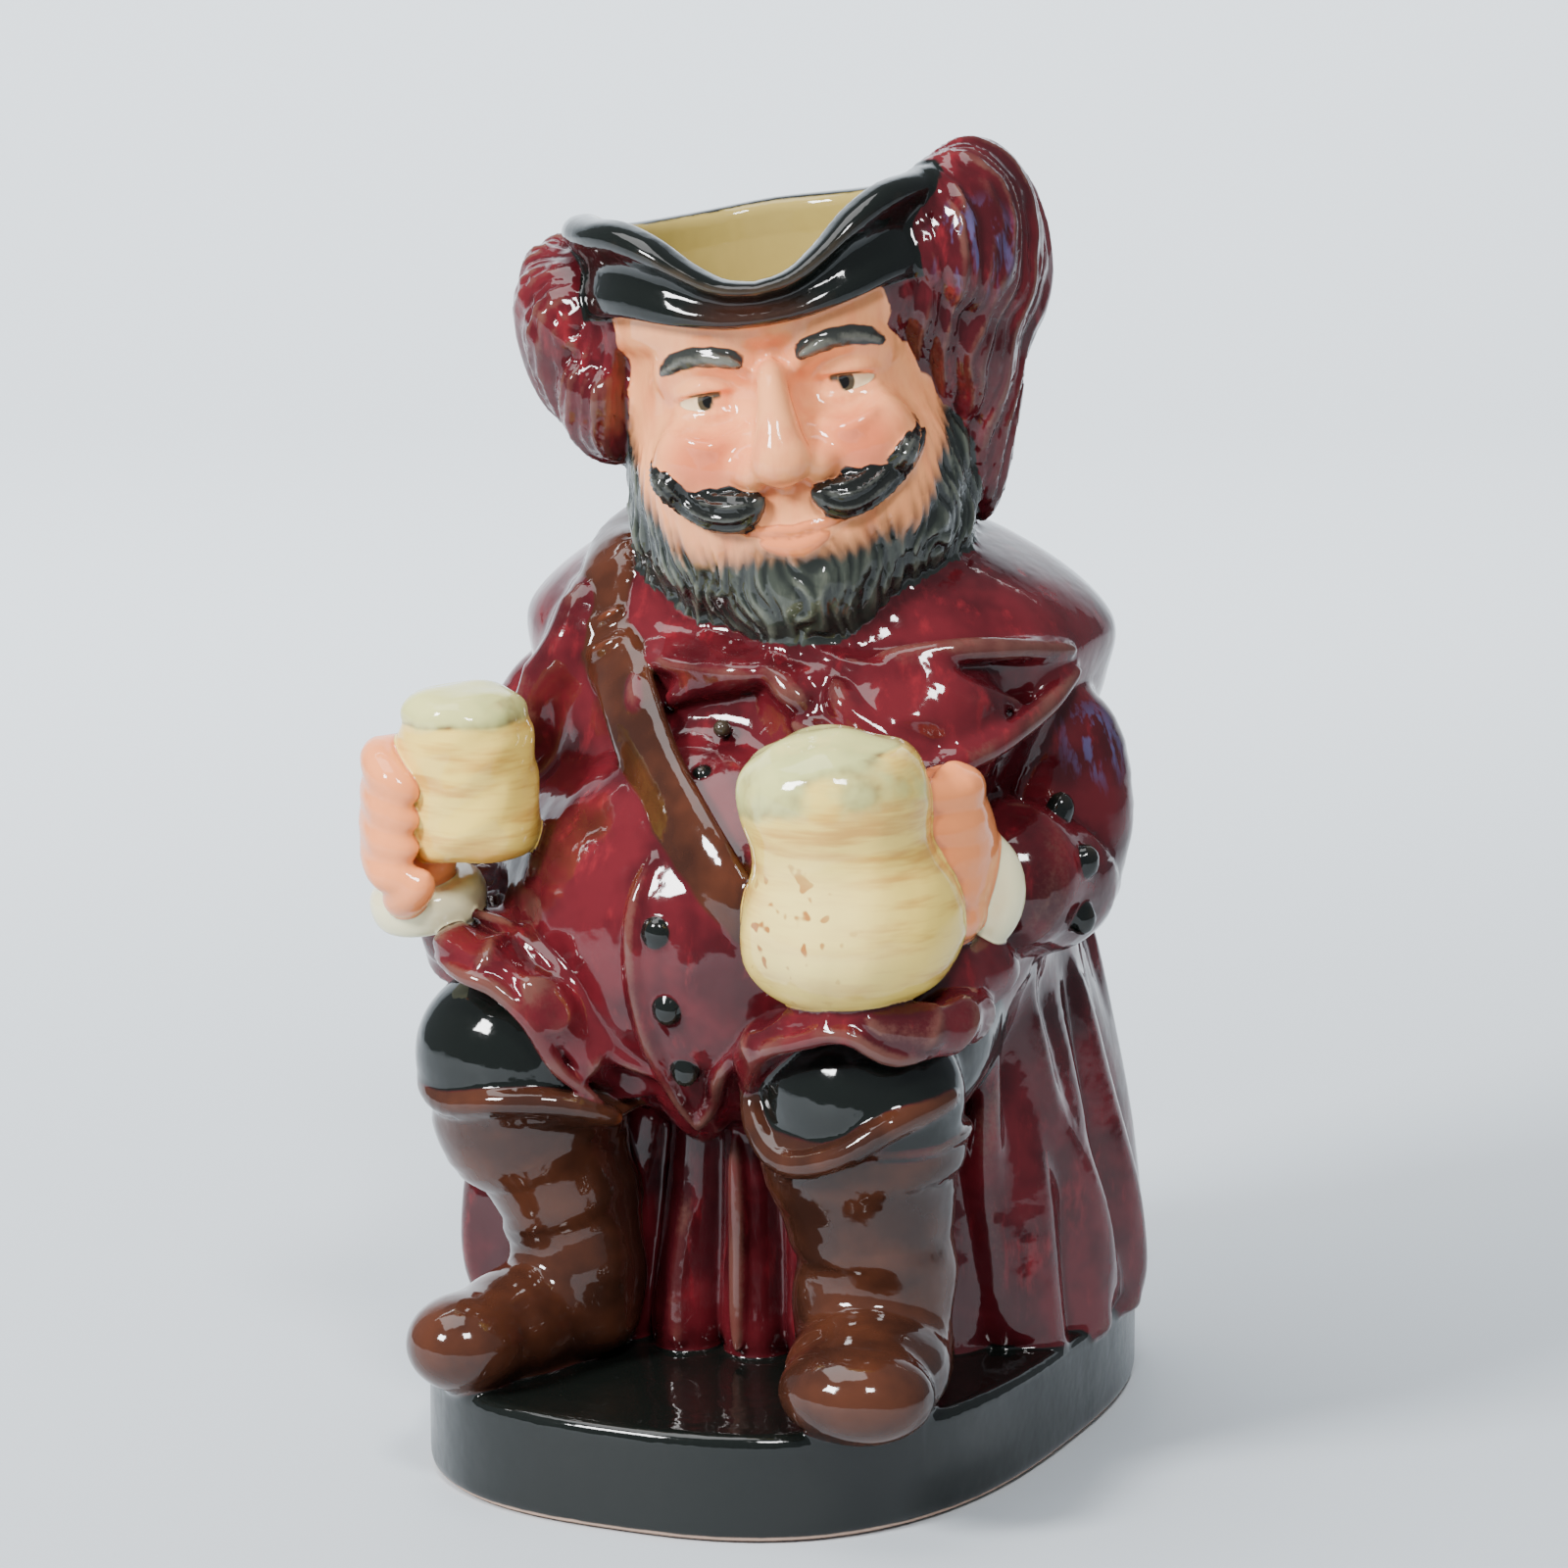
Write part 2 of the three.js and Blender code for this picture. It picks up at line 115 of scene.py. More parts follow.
def columns(table):
    """The smooth columns of a table whose first column is the key."""
    rows = np.array(table, float)
    return [smooth_run(rows[:, 0], rows[:, i]) for i in range(1, rows.shape[1])]


def step(low, high, t):
    """0 below low, 1 above high, and smooth between."""
    s = np.clip((t - low) / (high - low), 0, 1)
    return s * s * (3 - 2 * s)


def soft_min(a, b, width):
    """The smaller of two distances, with the crease between them rounded over width."""
    near = np.maximum(width - np.abs(a - b), 0) / width
    return np.minimum(a, b) - near * near * width / 4


def soft_max(a, b, width):
    return -soft_min(-a, -b, width)


def ripple(x, y, z, size, seed):
    """A smooth random value between about -1 and 1, whose bumps are about size apart."""
    random = np.random.default_rng(seed)
    total = np.float32(0)
    for _ in range(WAVES["count"]):
        direction = random.normal(size=3)
        length = np.linalg.norm(direction) * size * random.uniform(*WAVES["sizes"])
        direction *= 2 * math.pi / length
        a, b, c = direction.astype(np.float32)
        total = total + np.sin(a * x + b * y + c * z + np.float32(random.uniform(0, 6)))
    return total / WAVES["sum"]


# Forms


class Form:
    """A closed shape. distance(x, y, z) is below zero inside it, and low and high hold all of it."""

    def __init__(self, distance, low, high, paint, blend):
        self.distance, self.paint, self.blend = distance, paint, blend
        self.low, self.high = np.array(low, float), np.array(high, float)

    def raised(self, height):
        """The form with its surface raised by height(x, y, z)."""
        flat = self.distance
        grown = lambda x, y, z: flat(x, y, z) - height(x, y, z)
        return Form(grown, self.low - 1, self.high + 1, self.paint, self.blend)

    def dimpled(self, depth, size, seed):
        """The form with soft random bumps, about size apart."""
        return self.raised(lambda x, y, z: depth * ripple(x, y, z, size, seed))

    def pinched(self, depth, level, size, seed):
        """The form with random crests between soft hollows, like pinched cloth."""
        return self.raised(lambda x, y, z: depth * (level - np.abs(ripple(x, y, z, size, seed))))


def egg(centre, half, paint, blend=1.2, blunt=2.0):
    """An upright ellipsoid with the given half sizes."""
    cx, cy, cz = (np.float32(v) for v in centre)
    a, b, c = (np.float32(v) for v in half)

    def distance(x, y, z):
        u, v, w = (x - cx) / a, (y - cy) / b, np.abs(z - cz) / c
        size = np.sqrt(u * u + v * v + w**blunt)
        rise = blunt / 2 * w ** (blunt - 1) / c
        slope = np.sqrt((u / a) ** 2 + (v / b) ** 2 + rise * rise)
        return (size - 1) * (size + TINY) / (slope + TINY / min(a, b, c))

    low, high = np.subtract(centre, half), np.add(centre, half)
    return Form(distance, low, high, paint, blend)


def limb(stations, paint, blend=1.2, facing=(0, -1, 0), blunt=4.0, relief=None):
    """A limb along a smooth curve. Each station is [x, y, z, half size across, half size out], where out
    is the side that faces. relief(t, turn, place) raises the surface, with t along and turn round it."""
    rows = np.array([s if len(s) == 5 else [*s, s[3]] for s in stations], float)
    keys = np.linspace(0, 1, len(rows))
    pieces = STRETCH_PIECES * (len(rows) - 1)
    t = np.linspace(0, 1, pieces + 1)
    spot = np.stack([smooth_run(keys, rows[:, i])(t) for i in range(3)], 1).astype(float)
    along = np.gradient(spot, axis=0)
    along /= np.linalg.norm(along, axis=1)[:, None]
    across = np.cross(along, np.array(facing, float))
    for i in range(1, len(across)):
        across[i] *= math.copysign(1, across[i] @ across[i - 1])
    across /= np.linalg.norm(across, axis=1)[:, None]
    out = np.cross(across, along)
    sizes = [smooth_run(keys, rows[:, 3]), smooth_run(keys, rows[:, 4])]
    room = rows[:, 3:].max() + 0.5

    def nearest(x, y, z):
        best = np.full(np.broadcast_shapes(x.shape, y.shape, z.shape), np.inf, np.float32)
        at = np.zeros_like(best)
        for i in range(pieces):
            px, py, pz = spot[i].astype(np.float32)
            dx, dy, dz = (spot[i + 1] - spot[i]).astype(np.float32)
            share = (x - px) * dx + (y - py) * dy + (z - pz) * dz
            share = np.clip(share / (dx * dx + dy * dy + dz * dz), 0, 1)
            gap = (x - px - share * dx) ** 2 + (y - py - share * dy) ** 2 + (z - pz - share * dz) ** 2
            closer = gap < best
            best = np.where(closer, gap, best)
            at = np.where(closer, (i + share) / pieces, at)
        return at

    def distance(x, y, z):
        at = nearest(x, y, z)
        offset = [p - np.interp(at, t, spot[:, i]) for i, p in enumerate((x, y, z))]
        u, v, beyond = (
            sum(offset[i] * np.interp(at, t, axis[:, i]) for i in range(3)) for axis in (across, out, along)
        )
        a, b = sizes[0](at), sizes[1](at)
        swell = np.sqrt(np.maximum(1 - np.abs(2 * at - 1) ** blunt, 0))
        apart = np.sqrt(np.maximum(sum(o * o for o in offset) - beyond**2, 0) / (u * u + v * v + 1e-6))
        u, v = u * apart, v * apart
        size = np.sqrt((u / a) ** 2 + (v / b) ** 2)
        slope = np.sqrt((u / a**2) ** 2 + (v / b**2) ** 2)
        flat = (size - swell) * (size + TINY) / (slope + TINY / np.minimum(a, b))
        past = np.where((at <= 0) | (at >= 1), beyond, 0)
        gap = np.where(past != 0, np.hypot(np.maximum(flat, 0), past), flat)
        if relief is not None:
            gap = gap - relief(at, np.arctan2(v / b, u / a), (x, y, z)) * swell
        return gap.astype(np.float32)

    return Form(distance, spot.min(0) - room, spot.max(0) + room, paint, blend)


def ridge(points, size, paint, blend=2.0, blunt=3.0):
    """A narrow raised line through the points."""
    return limb([[*p, size] for p in points], paint, blend, blunt=blunt)


def rings(depth, count, sway, start, shift=0):
    """Relief of creases round a limb, which set in at a share of its length."""
    return lambda t, turn, place: depth * np.cos(count * t + sway * np.sin(turn + shift)) * step(*start, t)


def turned(foot, head, outline, paint, blend=0.8, edge=2.0):
    """A turned form about the line from foot to head: outline gives [share of the length, radius]."""
    foot, head = np.array(foot, float), np.array(head, float)
    length = np.linalg.norm(head - foot)
    ax, ay, az = ((head - foot) / length).astype(np.float32)
    radius = columns(outline)[0]

    def distance(x, y, z):
        px, py, pz = x - np.float32(foot[0]), y - np.float32(foot[1]), z - np.float32(foot[2])
        t = px * ax + py * ay + pz * az
        r = np.sqrt(np.maximum(px * px + py * py + pz * pz - t * t, 0))
        side = r - radius(t / length)
        return soft_max(soft_max(side, -t, edge), t - length, edge)

    most = max(r for _, r in outline) + 1
    low, high = np.minimum(foot, head) - most, np.maximum(foot, head) + most
    return Form(distance, low, high, paint, blend)


def rounded(x, y, wide, deep, squareness):
    """Distance from a rounded rectangle round the axis, measured towards the axis."""
    scale = (np.abs(x / wide) ** squareness + np.abs(y / deep) ** squareness + 1e-9) ** (1 / squareness)
    return np.sqrt(x * x + y * y) * (1 - 1 / scale)


def lofted(sections, squareness, edge, box, paint, blend, carved=lambda side, x, y, z: side):
    """An upright form round the coat's axis. Each section is [height, half width, reach forward, reach
    back], box holds the form's low and high corners, and carved changes the distance to its side."""
    wide, ahead, behind = columns(sections)
    low, high = sections[0][0], sections[-1][0]

    def distance(x, y, z):
        y = y - COAT_AXIS_Y
        side = rounded(x, y, wide(z), np.where(y < 0, ahead(z), behind(z)), squareness)
        return soft_max(carved(side, x, y, z), np.abs(z - (low + high) / 2) - (high - low) / 2, edge)

    return Form(distance, *box, paint, blend)


# Places on the head are in its own frame, where -Y is the face's front
TO_ITS_LEFT = Matrix.Rotation(math.radians(HEAD["turn"]), 3, "Z")
TO_ITS_SIDE = Matrix.Rotation(math.radians(-HEAD["lean"]), 3, "Y")
HEAD_TURN = np.array(TO_ITS_LEFT @ TO_ITS_SIDE)


def on_head(form):
    """The form turned and leaned with the head."""
    back = HEAD_TURN.T.astype(np.float32)
    cx, cy, cz = HEAD["centre"]
    corners = np.array([[a, b, c] for a in (0, 1) for b in (0, 1) for c in (0, 1)])
    corners = (form.low + corners * (form.high - form.low)) @ HEAD_TURN.T + np.array(HEAD["centre"])

    def distance(x, y, z):
        x, y, z = x - cx, y - cy, z - cz
        return form.distance(*(back[i, 0] * x + back[i, 1] * y + back[i, 2] * z for i in range(3)))

    return Form(distance, corners.min(0), corners.max(0), form.paint, form.blend)


def head_place(x, y, z):
    """A place in the head's frame, in the jug's frame."""
    return HEAD_TURN @ np.array([x, y, z]) + np.array(HEAD["centre"])


# The base


def base():
    half = BASE["height"] / 2

    def distance(x, y, z):
        side = rounded(x, y, BASE["half_width"], BASE["half_depth"], BASE["squareness"])
        return soft_max(side, np.abs(z - half) - half, BASE["edge"])

    size = (BASE["half_width"], BASE["half_depth"])
    return Form(distance, [-size[0], -size[1], 0], [*size, BASE["height"]], "black", 1.0)


# The coat, from its hem on the base to the neck: [height, half width, reach forward, reach back]
COAT = [
    [15, 51, 32, 55],
    [38, 49.2, 30, 51.5],
    [62, 45.2, 30, 46.5],
    [86, 41, 36, 40],
    [110, 42.5, 43, 37],
    [125, 47.8, 38.5, 34.5],
    [135.5, 48.6, 34, 31],
    [143.5, 40, 28.5, 25.5],
    [150, 27, 22, 20],
]


def coat_folds(angle, z):
    """Long folds with round crests and narrow creases that deepen towards the hem."""
    phase = FOLDS["count"] * angle + 1.3 * np.sin(3 * angle) + 0.012 * z
    crest = 2 * np.abs(np.cos(phase / 2)) ** 0.8 - 1
    fade = 1 - step(30, FOLDS["top"], z)
    return FOLDS["depth"] * fade * (0.4 * np.cos(phase) + 0.6 * crest)


def coat():
    def carved(side, x, y, z):
        return side - coat_folds(np.arctan2(y, x), z) - 0.35 * ripple(x, y, z, 26, 11)

    return lofted(COAT, 2.5, 3, ([-57, -34, 14], [57, 72, 152]), "coat", 1.0, carved)


def long_folds():
    """The folds that fan out from under the left arm, and those down the back of each side."""
    left = [
        [[41, -1, 78, 2], [44, 3, 56, 3], [47.5, 10, 38, 4], [48, 20, 18, 4.6]],
        [[41.5, 21, 74, 2], [45, 24, 50, 3], [48, 27, 34, 3.6], [48.5, 31, 18, 4]],
        [[41, -14, 76, 2], [38.5, -9, 50, 3], [40, -8, 34, 3.6], [42, -7, 18, 4.2]],
        [[36, 40, 80, 2], [39, 44, 50, 3], [40, 50, 18, 4]],
    ]
    right = [[[-x, y + 4, z, size] for x, y, z, size in fold] for fold in left[1:]]
    return [limb(fold, "coat", 4, blunt=8) for fold in left + right]


def cloak():
    """The cloak where it hangs beside the right boot, and its folds between the legs."""
    beside_boot = [[-44, -17, 15, 9.5], [-42.5, -14, 45, 8.8], [-38, -4, 84, 5]]
    forms = [limb(beside_boot, "coat", 2, relief=lambda t, turn, place: 0.7 * np.cos(5 * turn + 1))]
    for i, x in enumerate((-17, -6, 5, 16)):
        hem = [x * 1.15, -25 - 2 * (i % 2), 15, 6.5, 8]
        forms.append(limb([hem, [x, -24, 38, 5.5, 7], [x * 0.8, -22, 64, 5, 7]], "coat", 2, blunt=8))
    left_crease = ridge([[3.5, -30.5, 55], [4.5, -31.5, 37], [5, -33, 19]], 1.5, "coat", 1.6)
    right_crease = ridge([[-5, -29.5, 44], [-6.3, -32, 28], [-5.5, -33, 19]], 1.4, "coat", 1.6)
    return [*forms, left_crease, right_crease]


# The belly, with the coat's edge hanging to a point between the knees


def on_belly(x, z, out=0.0):
    """The place on the belly's surface at the given x and height."""
    (cx, cy, cz), (a, b, c) = BELLY["centre"], BELLY["half"]
    left = 1 - ((x - cx) / a) ** 2 - ((z - cz) / c) ** 2
    return [x, cy - b * math.sqrt(left) - out, z]


def belly():
    body = egg(BELLY["centre"], BELLY["half"], "coat", 3)
    body = body.raised(lambda x, y, z: 0.45 * ripple(x, y, z, 24, 3) + 0.12 * ripple(x, y, z, 8, 4))
    point = limb([[1, -42, 74, 9, 6], [0, -38, 64, 7, 5], [-1, -31, 54, 3, 3]], "coat", 2)
    edge = [[-2.5, -46.5, 104.5], [-4.2, -50.4, 97], [-4.2, -51.6, 88], [-3, -49.3, 76]]
    edge = [[x, y - 0.9, z] for x, y, z in edge + [[-1, -44, 66], [1.5, -39.5, 58]]]
    left_edge = ridge(edge, 1.4, "coat", 1.0)
    right_edge = ridge([[1.5, -40.5, 58], [5.5, -42.5, 64], [9, -47, 70], [18, -50, 80]], 1.4, "coat", 1.0)
    return [body, point, left_edge, right_edge]


def buttons():
    chest = [[4, -25.5, 129], [1.5, -30.5, 122], [0.5, -36, 115.5]]
    low = [on_belly(0, 93), on_belly(1.5, 80.5), on_belly(2.5, 69.5, 0.8)]
    small = [egg(at, [1.5, 1.6, 1.5], "black", 0.5) for at in chest]
    return small + [egg(at, [2.3, 1.5, 2.5], "black", 0.6) for at in low]


def on_top(form, x, y):
    """The place on the form's upper side at the given x and y, found by halving."""
    low, high = WAIST, form.high[2]
    for _ in range(16):
        middle = (low + high) / 2
        inside = form.distance(*np.float32([[x], [y], [middle]]))[0] < 0
        low, high = (middle, high) if inside else (low, middle)
    return [x, y, low]


def belt():
    """The shoulder belt, with a buckle of two ridges on the chest."""
    shoulder = coat()
    route = [on_top(shoulder, x, y) for x, y in ((-22, 16), (-27, 6), (-29.5, -4), (-27.5, -12.5))]
    route += [[-24.5, -18.5, 133], [-18, -26, 127], [-8, -36.5, 116]]
    route += [on_belly(2, 108), on_belly(10, 100), on_belly(17, 91)]
    stations = [[*at, 5.6, 2.2] for at in route]
    forms = [limb(stations, "belt", 0.6, facing=[-0.3, -1, 0.4], blunt=12)]
    for low, high in (
        ([-27.5, -19.5, 129], [-19.5, -22.5, 134]),
        ([-29, -16, 132.5], [-21.5, -19, 138]),
    ):
        middle = [(a + b) / 2 for a, b in zip(low, high)]
        middle[1] -= 1.8
        forms.append(ridge([low, middle, high], 1.3, "belt", 0.8))
    return forms


def cape():
    """The front of the cape over the left arm with its folds, its hem and the collar."""
    front = limb([[6, -22, 125, 9, 8], [26, -23, 123, 10, 8], [43, -13, 122, 11, 8]], "coat", 4)
    hem_route = [[12, -32, 119, 2], [28, -32, 117, 2], [41, -24.5, 119, 2]]
    hem_route += [[47.5, -10, 124.5, 2], [50, 2, 129.5, 1.6]]
    hem = limb(hem_route, "coat", 3.5, blunt=4)
    collar = egg([4, -3, 131], [33, 27.5, 5], "coat", 4)
    drape_route = [[-30, -8, 141, 3, 4], [-30.5, -15.5, 135.5, 4, 5], [-33.5, -18, 127, 5, 6]]
    drape = limb(drape_route + [[-38, -16.5, 116, 5.5, 7], [-40, -13, 103, 5, 6]], "coat", 4)
    front, collar, drape = (form.pinched(1.1, 0.35, 15, 81) for form in (front, collar, drape))
    forms = [front, hem, collar, drape]
    for fold in (
        [[25, -23.5, 134], [34, -19.8, 135], [42, -13, 135], [49.5, 1.5, 133]],
        [[27, -22.4, 134.5], [34, -21.2, 132], [39, -19.2, 129], [45, -11.5, 126]],
        [[-8, -31, 120], [-13, -30.5, 124], [-15.5, -27, 129.5]],
        [[8.5, -28, 132.5], [12.5, -30, 129], [16.5, -30.5, 126.5]],
        [[-10, -27.5, 124.5], [-4.7, -26.8, 127.7], [6.5, -29, 130.5]],
        [[20, -28.5, 131], [24, -30.5, 126], [33, -29.5, 121]],
        [[14, -31.5, 124], [24, -32, 121.5], [36, -27, 120.5]],
    ):
        forms.append(ridge(fold, 2.1, "coat", 2.2, blunt=2))
    return forms


# The arms, and what each hand holds


def right_arm():
    sleeve_route = [[-44, 7, 126, 11], [-46, 1, 109, 11], [-45, -13, 92, 11]]
    sleeve_route += [[-43, -30, 84, 9.5], [-44.5, -40, 90, 8]]
    sleeve = limb(sleeve_route, "coat", 3, relief=rings(0.5, 26, 1.2, (0.25, 0.5)))
    cuff_outline = [[0, 8.4], [0.3, 9.4], [0.75, 9.4], [1, 8.6]]
    cuff = turned([-45.5, -40.8, 88.5], [-46.3, -42.3, 95.5], cuff_outline, "cuff", 0.8, 1.4)
    palm_route = [[-46.5, -42.5, 92, 6, 6], [-47.5, -44.5, 104, 8, 7.5], [-45.5, -45, 120, 6, 6]]
    palm = limb(palm_route, "skin", 1.5)
    back = egg([-48.3, -43.5, 105.5], [6, 8.5, 14], "skin", 2.5)
    forms = [sleeve, cuff, palm, back]
    for i in range(4):
        z = 117 - 5.3 * i
        route = [[-49.5, -41, z - 3, 3.3], [-50.8, -48, z - 0.5, 3.3], [-46.8, -53.6, z - 2.5, 3.2]]
        forms.append(limb([*route, [-41, -54.8, z - 5.5 + i, 2.7]], "skin", 2.2))
    thumb = [[-48, -48.5, 93, 3.6], [-43.5, -52.8, 95.5, 3.4], [-39.5, -54.2, 99, 2.8]]
    forms.append(limb(thumb, "skin", 1.1))
    return forms


def small_mug():
    outline = [[0, 9.2], [0.06, 10], [0.5, 10.7], [0.84, 10.4], [0.93, 9.6], [1, 8.6]]
    body = turned([-36, -43.5, 100.5], [-38.2, -43.8, 125.5], outline, "mug", 0.6)
    foam = egg([-38.2, -43.8, 124], [10.2, 10.2, 4.6], "foam", 1.2)
    return [body.dimpled(0.3, 9, 21), foam.dimpled(0.3, 8, 22)]


def left_arm():
    sleeve_route = [[43.5, 7, 126, 11], [45.5, 8, 111, 11], [44.5, 3, 97, 12.5]]
    sleeve_route += [[44, -11, 97.5, 12.5], [43, -21, 100, 11.5]]
    sleeve = limb(sleeve_route, "coat", 3, relief=rings(0.4, 24, 1.4, (0.2, 0.4), 1))
    cuff_outline = [[0, 9.4], [0.3, 10.2], [0.8, 10], [1, 9]]
    cuff = turned([42.8, -22.5, 97.6], [41.2, -28.5, 98.8], cuff_outline, "cuff", 0.8, 1.6)
    palm_route = [[41, -28, 93, 6, 8], [41.5, -30.5, 106, 7, 9], [38.5, -31, 119, 6, 8]]
    back = egg([43, -34.5, 106.5], [5.4, 8, 14.5], "skin", 2)
    forms = [sleeve, cuff, limb(palm_route, "skin", 1.5), back]
    for i in range(5):
        z = 117 - 5.2 * i
        route = [[43.5, -29, z, 3.1], [45, -36.5, z - 0.5, 3.2], [40 + 0.6 * i, -43.5, z - 1, 2.9]]
        forms.append(limb(route, "skin", 1.5))
    for at in ([50.2, -6.4, 108.4], [55.6, -9, 100.8], [55.2, -9.4, 91.5]):
        forms.append(egg(at, [2.3, 2.3, 2.8], "black", 0.6))
    return forms


def large_mug():
    outline = [[0, 11.5], [0.06, 14], [0.17, 16.8], [0.3, 17.7], [0.44, 16.6]]
    outline += [[0.56, 14.6], [0.82, 14.5], [0.92, 14], [1, 13]]
    body = turned([33.2, -48, 85.2], [28.8, -49.8, 123.5], outline, "mug", 0.6, 3)
    foam = egg([29.1, -49.7, 118], [14.6, 14.6, 9.8], "foam", 3)
    return [body.dimpled(0.3, 12, 23), foam.dimpled(0.4, 10, 24)]


# The legs, in breeches and wide boots with a turned edge at the knee
# Each leg's knee, boot cuff, ankle and toe, and half the width of its ankle and of its toe
RIGHT_LEG = [[-30, -43, 68], [-27, -40, 59], [-22, -37, 38], [-30, -64, 24.5], 11, 9.6]
LEFT_LEG = [[31.5, -43, 68], [30, -40, 60], [31.5, -38, 38], [38, -63.5, 24.5], 13, 12.6]
RIGHT_RIM = [[-44.5, -42, 65], [-42, -49, 63], [-36, -54.5, 62]]
RIGHT_RIM += [[-27, -56.5, 63.5], [-17, -53.5, 63.5], [-9, -46, 60]]
LEFT_RIM = [[13.5, -46, 71], [17, -51.5, 63], [24, -56, 59]]
LEFT_RIM += [[33.5, -57.5, 61.5], [41, -54.5, 66.5], [48, -44, 70]]


def leg(knee, cuff, ankle, toe, narrow, broad):
    side = math.copysign(1, knee[0])
    thigh = limb([[side * 20, 0, 73, 18], [side * 27, -22, 75, 18], [*knee, 15.5]], "black", 2)
    kneecap = egg(knee, [16.5, 14, 15], "black", 2)
    shaft_route = [
        [knee[0], knee[1] + 2, knee[2] - 2, 17, 16],
        [cuff[0], cuff[1], cuff[2] - 3, 16.5, 15],
        [(cuff[0] + ankle[0]) / 2, (cuff[1] + ankle[1]) / 2, 49, narrow + 1.3, 13],
        [*ankle, narrow, 12],
        [ankle[0], ankle[1] - 1, 17, narrow + 0.5, 11.5],
    ]
    creased = lambda t: step(0.56, 0.7, t) * (1 - step(0.82, 0.95, t))
    wrinkles = lambda t, turn, place: 0.5 * creased(t) * np.cos(28 * t + 2.2 * np.sin(turn + side))
    shaft = limb(shaft_route, "boot", 1.2, blunt=14, relief=wrinkles)
    middle = [(ankle[0] + toe[0]) / 2, ankle[1] - 9, 25, broad + 0.4, 9.5]
    foot_route = [[ankle[0], ankle[1] + 7, 25, 10.5, 9], middle, [*toe, broad, 8]]
    foot = limb(foot_route, "boot", 2.5, facing=(0, 0, 1), blunt=3)
    toe_cap = egg([toe[0], toe[1] + 3, toe[2]], [broad, 10.3, 8], "boot", 2)
    edge = egg([cuff[0], cuff[1], cuff[2] + 2], [17.9, 16.6, 3], "boot", 2)
    return [thigh, kneecap, shaft, foot, toe_cap, edge]


def boot_rims():
    return [ridge(rim, 2.2, "boot", 1.2, blunt=10) for rim in (RIGHT_RIM, LEFT_RIM)]


def hems():
    """The folded edge of the coat where it lies over each thigh, a channel between two ridges."""
    right_route = [[-40, -46, 87.5, 3.6, 5.5], [-33, -50, 86.5, 3.6, 6.5], [-26.5, -51, 85, 3.6, 6.5]]
    right_route += [[-19.5, -51.5, 80, 4, 5.5], [-15.5, -50, 73.5, 4, 5], [-11, -45, 65.5, 4, 4.5]]
    under_route = [[-40, -37, 87, 6, 5], [-32, -42, 85, 6, 5], [-24, -45, 81, 6.5, 5]]
    under_route += [[-14, -45, 72, 6, 5], [-6, -41, 64, 5, 4]]
    left_route = [[12, -45, 67, 3.5], [18.5, -52.5, 77, 3.6, 5], [28, -55.5, 83, 3.4, 5]]
    left_route += [[38, -55, 83.5, 3.6, 5], [46.5, -48, 81.5, 4.5, 5], [47.5, -32, 82, 5.5, 5]]
    left_under = [[45, -20, 86, 6, 7], [43, -34, 86, 6.5, 6], [33, -43, 84.5, 6.5, 6], [20, -45, 79, 6.5, 5]]
    upper_edge = [[-38, -43, 91], [-29, -46, 89.5], [-18, -49.5, 83.5]]
    upper_edge += [[-13.5, -49.5, 77], [-10, -48, 71.5], [-2, -45.5, 67.5]]
    lower_edge = [[-40, -51, 85], [-32, -57, 84], [-26, -57.5, 82.5]]
    lower_edge += [[-20.5, -56.5, 77.5], [-16.5, -54, 69.5], [-11, -49.5, 63.5]]
    left_edge = [[14, -49, 67], [20.5, -57.5, 76.5], [28, -60, 80]]
    left_edge += [[36, -60.5, 82], [43, -56.5, 78], [49.5, -46, 79.5]]
    routes = (under_route, right_route, left_under, left_route)
    cloth = [limb(route, "coat", 2, blunt=6).pinched(1.2, 0.3, 13, 71) for route in routes]
    return cloth + [ridge(edge, 1.5, "coat", 1.4) for edge in (upper_edge, lower_edge, left_edge)]


# The head, in its own frame
SKULL = ([0, 2, 2], [27, 27.5, 32])
JAW = ([0, -3, -14], [28, 27.5, 22.5])
CHEEK = ([13, -24, -3], [8, 6, 6.5])
EYE = {"x": 10.4, "z": 5.4, "radius": 5.7, "sunk": -17.6}
# Each row is [degrees from the front, height]
BEARD_EDGE = [[0, -19], [25, -18.5], [45, -14.5], [60, -6], [75, 2], [90, 6], [180, 6]]


def face_front(x, z):
    """How far forward the face comes at the given x and height, in the head's frame."""
    most = 0.0
    cheek = ([math.copysign(CHEEK[0][0], x), *CHEEK[0][1:]], CHEEK[1])
    for (cx, cy, cz), (a, b, c), blunt in ((*SKULL, 2), (*JAW, 3), (*cheek, 2)):
        left = 1 - ((x - cx) / a) ** 2 - abs((z - cz) / c) ** blunt
        if left > 0:
            most = min(most, cy - b * math.sqrt(left))
    return most


def on_face(x, z, out=0.0):
    return [x, face_front(x, z) - out, z]


def beard_edge(x, y):
    """Height of the beard's upper edge on the jaw, in the head's frame."""
    from_front = np.degrees(np.abs(np.arctan2(x, -y)))
    return columns(BEARD_EDGE)[0](from_front)


def strands(x, y, z, pitch, seed):
    """Combed hair that runs down round the head's upright axis, in uneven ridges."""
    turn = np.arctan2(x, -y)
    low = step(-14, -30, z)
    slow, quick = ripple(x, y, z, 15, seed), ripple(x, y, z, 8, seed + 1)
    wander = (2.4 + 2.5 * low) * slow + (1.3 + 1.7 * low) * quick
    fine = np.cos(np.round(2 * math.pi * 28 / pitch) * turn + 1.5 * wander)
    broad = np.cos(31 * turn + 0.09 * z + wander)
    return 0.55 * fine + 0.45 * broad


